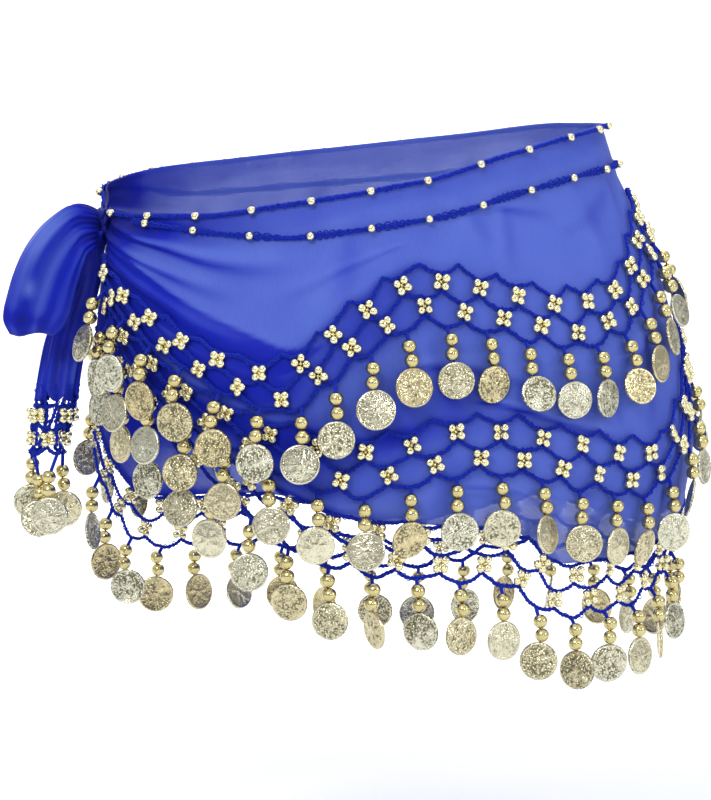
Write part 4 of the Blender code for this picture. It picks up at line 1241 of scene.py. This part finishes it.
def turned_pair(first, second, angle):
    """Two directions at right angles, both turned in their plane, the first to the second."""
    return (first * np.cos(angle) + second * np.sin(angle),
            second * np.cos(angle) - first * np.sin(angle))


def hang_beads(band, name, metal, forward, random):
    """The two large beads of each dangle, uneven in place and size."""
    large = metal.large_bead / MM / 2
    count = len(forward)
    middles, sizes, frames = [], [], []
    for drop, loose, share, inwards in zip(PAIR_DROPS, PAIR_LOOSE, PAIR_FORWARD, BEAD_IN[band.letter]):
        middle, across, near = band.hang(drop)
        middle = middle + across * random.normal(0, loose, (count, 1)).clip(-1.2, 1.2)
        middles.append(middle + near * (share * forward - inwards))
        radius = large * random.uniform(0.95, 1.03, count)
        sizes.append(stacked(radius, radius, large * 0.95))
        frames.append(stacked(across, -near, np.cross(across, -near)))
    points, faces = copies(LARGE_BEAD, *(np.concatenate(part) for part in (middles, frames, sizes)))
    return new_piece(f"{name}_beads", points, faces, "gilt_metal")


def hang_coins(band, name, metal, forward, random):
    """A coin at the foot of each dangle: twisted on its stem, rolled, tipped and spun."""
    high, across, near = band.hang(COIN_TOP)
    low, _, _ = band.hang(COIN_TOP + 2 * COIN_APOTHEM)
    up = unit(high - low)
    count = len(high)
    twist = band.twists()[:, None]
    roll = random.normal(0, COIN_ROLL[band.letter], (count, 1))
    pitch = random.normal(*COIN_PITCH, (count, 1)).clip(-0.22, 0.25)
    along = unit(across * np.cos(twist) + near * np.sin(twist))
    face = unit(np.cross(along, up))
    along, up = turned_pair(along, up, roll)
    up, face = turned_pair(up, face, pitch)
    radius = metal.coin / MM / 2 * random.uniform(0.97, 1.02, count)
    shape, relief = coin_shape(metal.coin_relief / MM)
    spin = random.uniform(0, 2 * np.pi, count)[:, None]
    spun = along * np.cos(spin) + up * np.sin(spin)
    points, faces = copies(shape, high + near * forward - up * radius[:, None],
                           stacked(spun, np.cross(face, spun), face), stacked(radius, radius, 1))
    tone = np.repeat(random.uniform(0, 1, count) ** 2, len(relief))
    # How far each coin's low ground is darkened, by tarnish and painted shade.
    ground_darkening = np.repeat(random.uniform(*COIN_GROUND_DARKENING, count), len(relief))
    relief = 1.1 - (1.1 - np.tile(relief, count)) * ground_darkening
    return new_piece(f"{name}_coins", points, faces, "coin_metal", relief=relief, tone=tone)


def dangles(band, name, seed):
    """A band's last crochet line with its threads, its large beads and its coins."""
    metal = bpy.context.scene.scarf_metal
    random = np.random.default_rng(seed)
    reach = metal.coin / MM / 2 * np.abs(np.sin(band.twists()[:, None]))
    forward = np.maximum(reach - TURN_ROOM[band.letter], 0)
    root = band.point(band.halves[1::2].astype(float), np.full(band.repeats, LINE_2[1]), 0.0)
    first, _, near = band.hang(PAIR_DROPS[0])
    first = first + near * (PAIR_FORWARD[0] * forward - BEAD_IN[band.letter][0])
    foot, _, _ = band.hang(COIN_TOP + THREAD_INTO_COIN)
    points, faces = joined([plait(*net_line(band, LINE_2, True)),
                            thread_between(root, first, THREAD_RADII[0]),
                            thread_between(first, foot, THREAD_RADII[1])])
    line = new_piece(f"{name}_crochet", points, faces, "crochet_cord")
    beads = hang_beads(band, name, metal, forward, random)
    coins = hang_coins(band, name, metal, forward, random)
    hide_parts(name)
    return [line, beads, coins]


class SCARF_OT_nets(bpy.types.Operator):
    """Crochet the three scalloped net bands with their bead flowers"""
    bl_idname = "scarf.nets"
    bl_label = "Net bands"

    def execute(self, context):
        for number, letter, side in HIP_BANDS:
            first = HEM_LINE_0 if letter == "c" else LINE_0
            net_and_flowers(HipBand(letter, side), f"net_{letter}_{side}", first, NET_SEED + number)
        return {"FINISHED"}


class SCARF_OT_fringes(bpy.types.Operator):
    """Hang the bead and coin dangles from each band"""
    bl_idname = "scarf.fringes"
    bl_label = "Dangles"

    def execute(self, context):
        for number, letter, side in HIP_BANDS:
            seed = FRINGE_SEED + number + 7 * (side == "back")
            dangles(HipBand(letter, side), f"fringe_{letter}_{side}", seed)
        return {"FINISHED"}


class SCARF_OT_bow(bpy.types.Operator):
    """Tie the knot and pull out its drooping bow loop"""
    bl_idname = "scarf.bow"
    bl_label = "Knot and bow"

    def execute(self, context):
        points, faces, deep = knot_surface()
        knot = new_piece("tied_knot", points, faces, "chiffon", uv=points[:, 1:], deep=deep)
        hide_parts("knot")
        rows, columns = BOW_GRID
        way, across = np.meshgrid(np.linspace(0.035, 0.965, rows), np.linspace(1, 0, columns),
                                  indexing="ij")
        drop = (1 - np.cos(2 * np.pi * way)) / 2
        bow = lay_cloth("bow_loop_cloth", bow_surface(way, across), stacked(across, way) * BOW_FLAT,
                        bow_depth_and_shade(across, drop))
        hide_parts("bow_loop")
        return {"FINISHED"}


class SCARF_OT_tail(bpy.types.Operator):
    """Hang the pleated tail with its small net and coins"""
    bl_idname = "scarf.tail"
    bl_label = "Tail"

    def execute(self, context):
        rows, columns = TAIL_GRID
        way, turn = np.meshgrid(np.linspace(0, 1, rows), np.linspace(*TAIL_TURNS, columns), indexing="ij")
        hem = TAIL_END + sum(tall * hump(at, wide, turn) for at, wide, tall in TAIL_SCALLOPS)
        height = TAIL_TOP + (hem - TAIL_TOP) * way
        fine = 0.7 * np.sin(np.radians(turn * 9) + 0.04 * height) * smooth(TAIL_TOP, TAIL[2][0], height)
        sheer = (0.55 * hump(232, 13, turn) * hump(-102, 9, height)
                 + 0.45 * hump(108, 16, turn) * smooth(-92, -108, height))
        tail = lay_cloth("tail_chiffon", tail_point(turn, height, fine), stacked(turn * 0.2, height),
                         0.9 - sheer)
        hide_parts("tail_cloth")
        band = TailBand()
        with_tail = net_and_flowers(band, "tail_net", HEM_LINE_0, TAIL_SEED)
        points, faces = joined(self.chains(band))
        with_tail.append(new_piece("tail_chains_crochet", points, faces, "crochet_cord"))
        with_tail += dangles(band, "tail_fringe", TAIL_SEED + 1)
        return {"FINISHED"}

    @staticmethod
    def chains(band):
        """Plaits of yarn that hang through the small net, each wandering by slow sines."""
        way = np.arange(0, TAIL_CHAIN_LONG, STITCH_STEP)
        low = TAIL_END + 9 - way
        made = []
        for place in np.linspace(0.2, band.halves[-1] - 0.2, TAIL_CHAINS):
            turn = band.turn(place) + 8 * np.sin(way / 5 + 3 * place)
            path = tail_point(turn, low, -0.6 + 0.5 * np.sin(way / 4 + place))
            out = unit(tail_point(turn, low, 1.0) - tail_point(turn, low, 0.0))
            made.append(plait(path, out, 0.85))
        return made


class SCARF_OT_declare(bpy.types.Operator):
    """An empty step: it states nothing about the cloth and only finishes"""
    bl_idname = "scarf.declare"
    bl_label = "Cut of the cloth"

    def execute(self, context):
        return {"FINISHED"}


def stage_piece(name, material, points, faces, colour, rough):
    """A plainly coloured piece of the stage, with its points in metres."""
    plain, _, _ = new_material(material, Base_Color=(*colour, 1.0), Roughness=rough)
    return put_in_scene(name, smooth_mesh(name, points, faces, plain))


class SCARF_OT_stage(bpy.types.Operator):
    """Set the pale floor, the soft lights and the camera"""
    bl_idname = "scarf.stage"
    bl_label = "Stage"

    def execute(self, context):
        settings = context.scene.scarf_stage
        self.floor(settings)
        self.dark_card()
        self.lights()
        self.room(context.scene)
        self.camera(context.scene, settings.distance)
        return {"FINISHED"}

    @staticmethod
    def floor(settings):
        """A floor that turns up into a backdrop through a quarter circle."""
        reach, bend, wide, tall = 4.0, 1.2, 6.0, 4.5
        turn = np.linspace(0, math.pi / 2, 17)
        along = np.concatenate([[-5.0], reach - bend + bend * np.sin(turn), [reach]])
        high = np.concatenate([[0.0], bend * (1 - np.cos(turn)), [tall]])
        points = stacked([-wide, wide], along[:, None], high[:, None] - settings.floor).reshape(-1, 3)
        faces = (np.arange(len(along) - 1)[:, None] * 2 + [0, 1, 3, 2]).tolist()
        floor = stage_piece("floor_and_backdrop", "pale_floor", points, faces, settings.tone, 0.9)

    @staticmethod
    def dark_card():
        """A dark card behind the camera, for the metal to mirror."""
        wide, low, high, away = 1.5, -0.3, 1.7, -3.4
        points = stacked([-wide, wide, wide, -wide], away, [low, low, high, high])
        card = stage_piece("dark_card", "dark_card", points, [(0, 1, 2, 3)], (0.02, 0.02, 0.025), 1.0)
        card.visible_camera = False

    @staticmethod
    def lights():
        """Four soft boxes round the scarf, a small one for its sparkle, a wash on the backdrop."""
        garment, backdrop = (0.0, 0.0, -0.10), (0.0, 4.0, 0.3)
        # Name, place, what it is aimed at, width in metres, watts.
        softboxes = (("key", (-1.3, -2.0, 1.6), garment, 0.8, 32.0),
                     ("fill", (2.0, -1.6, 0.6), garment, 0.7, 10.0),
                     ("top", (0.2, 0.2, 2.0), garment, 1.2, 10.0),
                     ("back", (0.8, 1.7, 0.9), garment, 0.8, 8.0),
                     ("sparkle", (0.3, -2.5, 0.4), garment, 0.16, 7.0),
                     ("wash", (0.0, 1.6, 1.6), backdrop, 2.4, 90.0))
        for name, place, target, wide, watts in softboxes:
            data = bpy.data.lights.new(name, "AREA")
            data.size = wide
            data.energy = watts
            light = put_in_scene(name, data)
            light.location = place
            aim = np.array(target) - np.array(place)
            yaw = math.atan2(aim[1], aim[0]) - math.pi / 2
            light.rotation_euler = (math.pi / 2 + math.asin(aim[2] / np.linalg.norm(aim)), 0.0, yaw)

    @staticmethod
    def room(scene):
        """A pale room that is brighter overhead than towards its floor."""
        world = bpy.data.worlds.new("soft_room")
        world.use_nodes = True
        tree = world.node_tree
        direction = add_node(tree, "TexCoord", {})["Generated"]
        overhead = add_node(tree, "SeparateXYZ", {0: direction})["Z"]
        bright = add_node(tree, "MapRange", {"Value": overhead, "From Min": -0.1, "From Max": 0.9,
                                             "To Min": 0.32, "To Max": 1.0})[0]
        feed(tree, tree.nodes["Background"], {"Color": (0.93, 0.95, 1.0, 1.0), "Strength": bright})
        scene.world = world

    @staticmethod
    def camera(scene, distance):
        """A long lens, turned 15 degrees to the knot's side and 4 degrees up."""
        turn, rise = -VIEW_TURN, math.radians(4)
        right = np.array([math.cos(turn), math.sin(turn), 0.0])
        back = np.array([math.sin(turn) * math.cos(rise), -math.cos(turn) * math.cos(rise), math.sin(rise)])
        up = np.cross(back, right)
        frame_tall, waist_left, waist_high = 0.424, 0.00345, 0.11872
        middle = -right * waist_left - up * waist_high
        data = bpy.data.cameras.new("camera")
        data.sensor_fit = "VERTICAL"
        data.sensor_height = 36.0
        data.lens = data.sensor_height * distance / frame_tall
        data.clip_end = 60.0
        camera = put_in_scene("camera", data)
        camera.location = middle + back * distance
        camera.rotation_euler = (math.pi / 2 - rise, 0.0, turn)
        scene.camera = camera


class SCARF_PT_panel(bpy.types.Panel):
    """The scarf's pieces and settings, in the sidebar"""
    bl_idname = "SCARF_PT_panel"
    bl_label = "Hip Scarf"
    bl_space_type = "VIEW_3D"
    bl_region_type = "UI"
    bl_category = "Hip Scarf"

    def draw(self, context):
        for name in SETTINGS:
            group = getattr(context.scene, name)
            box = self.layout.box()
            for setting in group.__annotations__:
                box.prop(group, setting)
        for operator in OPERATORS:
            self.layout.operator(operator.bl_idname)


SETTINGS = {"scarf_cloth": ScarfClothSettings, "scarf_cord": ScarfCordSettings,
            "scarf_metal": ScarfMetalSettings, "scarf_stage": ScarfStageSettings}
OPERATORS = (SCARF_OT_stage, SCARF_OT_cloth, SCARF_OT_edging, SCARF_OT_nets, SCARF_OT_fringes,
             SCARF_OT_bow, SCARF_OT_tail, SCARF_OT_declare)


def register():
    for name, group in SETTINGS.items():
        bpy.utils.register_class(group)
        setattr(bpy.types.Scene, name, bpy.props.PointerProperty(type=group))
    for operator in OPERATORS:
        bpy.utils.register_class(operator)
    bpy.utils.register_class(SCARF_PT_panel)


def unregister():
    bpy.utils.unregister_class(SCARF_PT_panel)
    for operator in reversed(OPERATORS):
        bpy.utils.unregister_class(operator)
    for name, group in SETTINGS.items():
        delattr(bpy.types.Scene, name)
        bpy.utils.unregister_class(group)


def main():
    register()
    bpy.ops.scarf.stage()
    bpy.ops.scarf.cloth()
    bpy.ops.scarf.edging()
    bpy.ops.scarf.nets()
    bpy.ops.scarf.fringes()
    bpy.ops.scarf.bow()
    bpy.ops.scarf.tail()
    bpy.ops.scarf.declare()
    bpy.context.scene.view_settings.view_transform = "Standard"


if __name__ == "__main__":
    main()
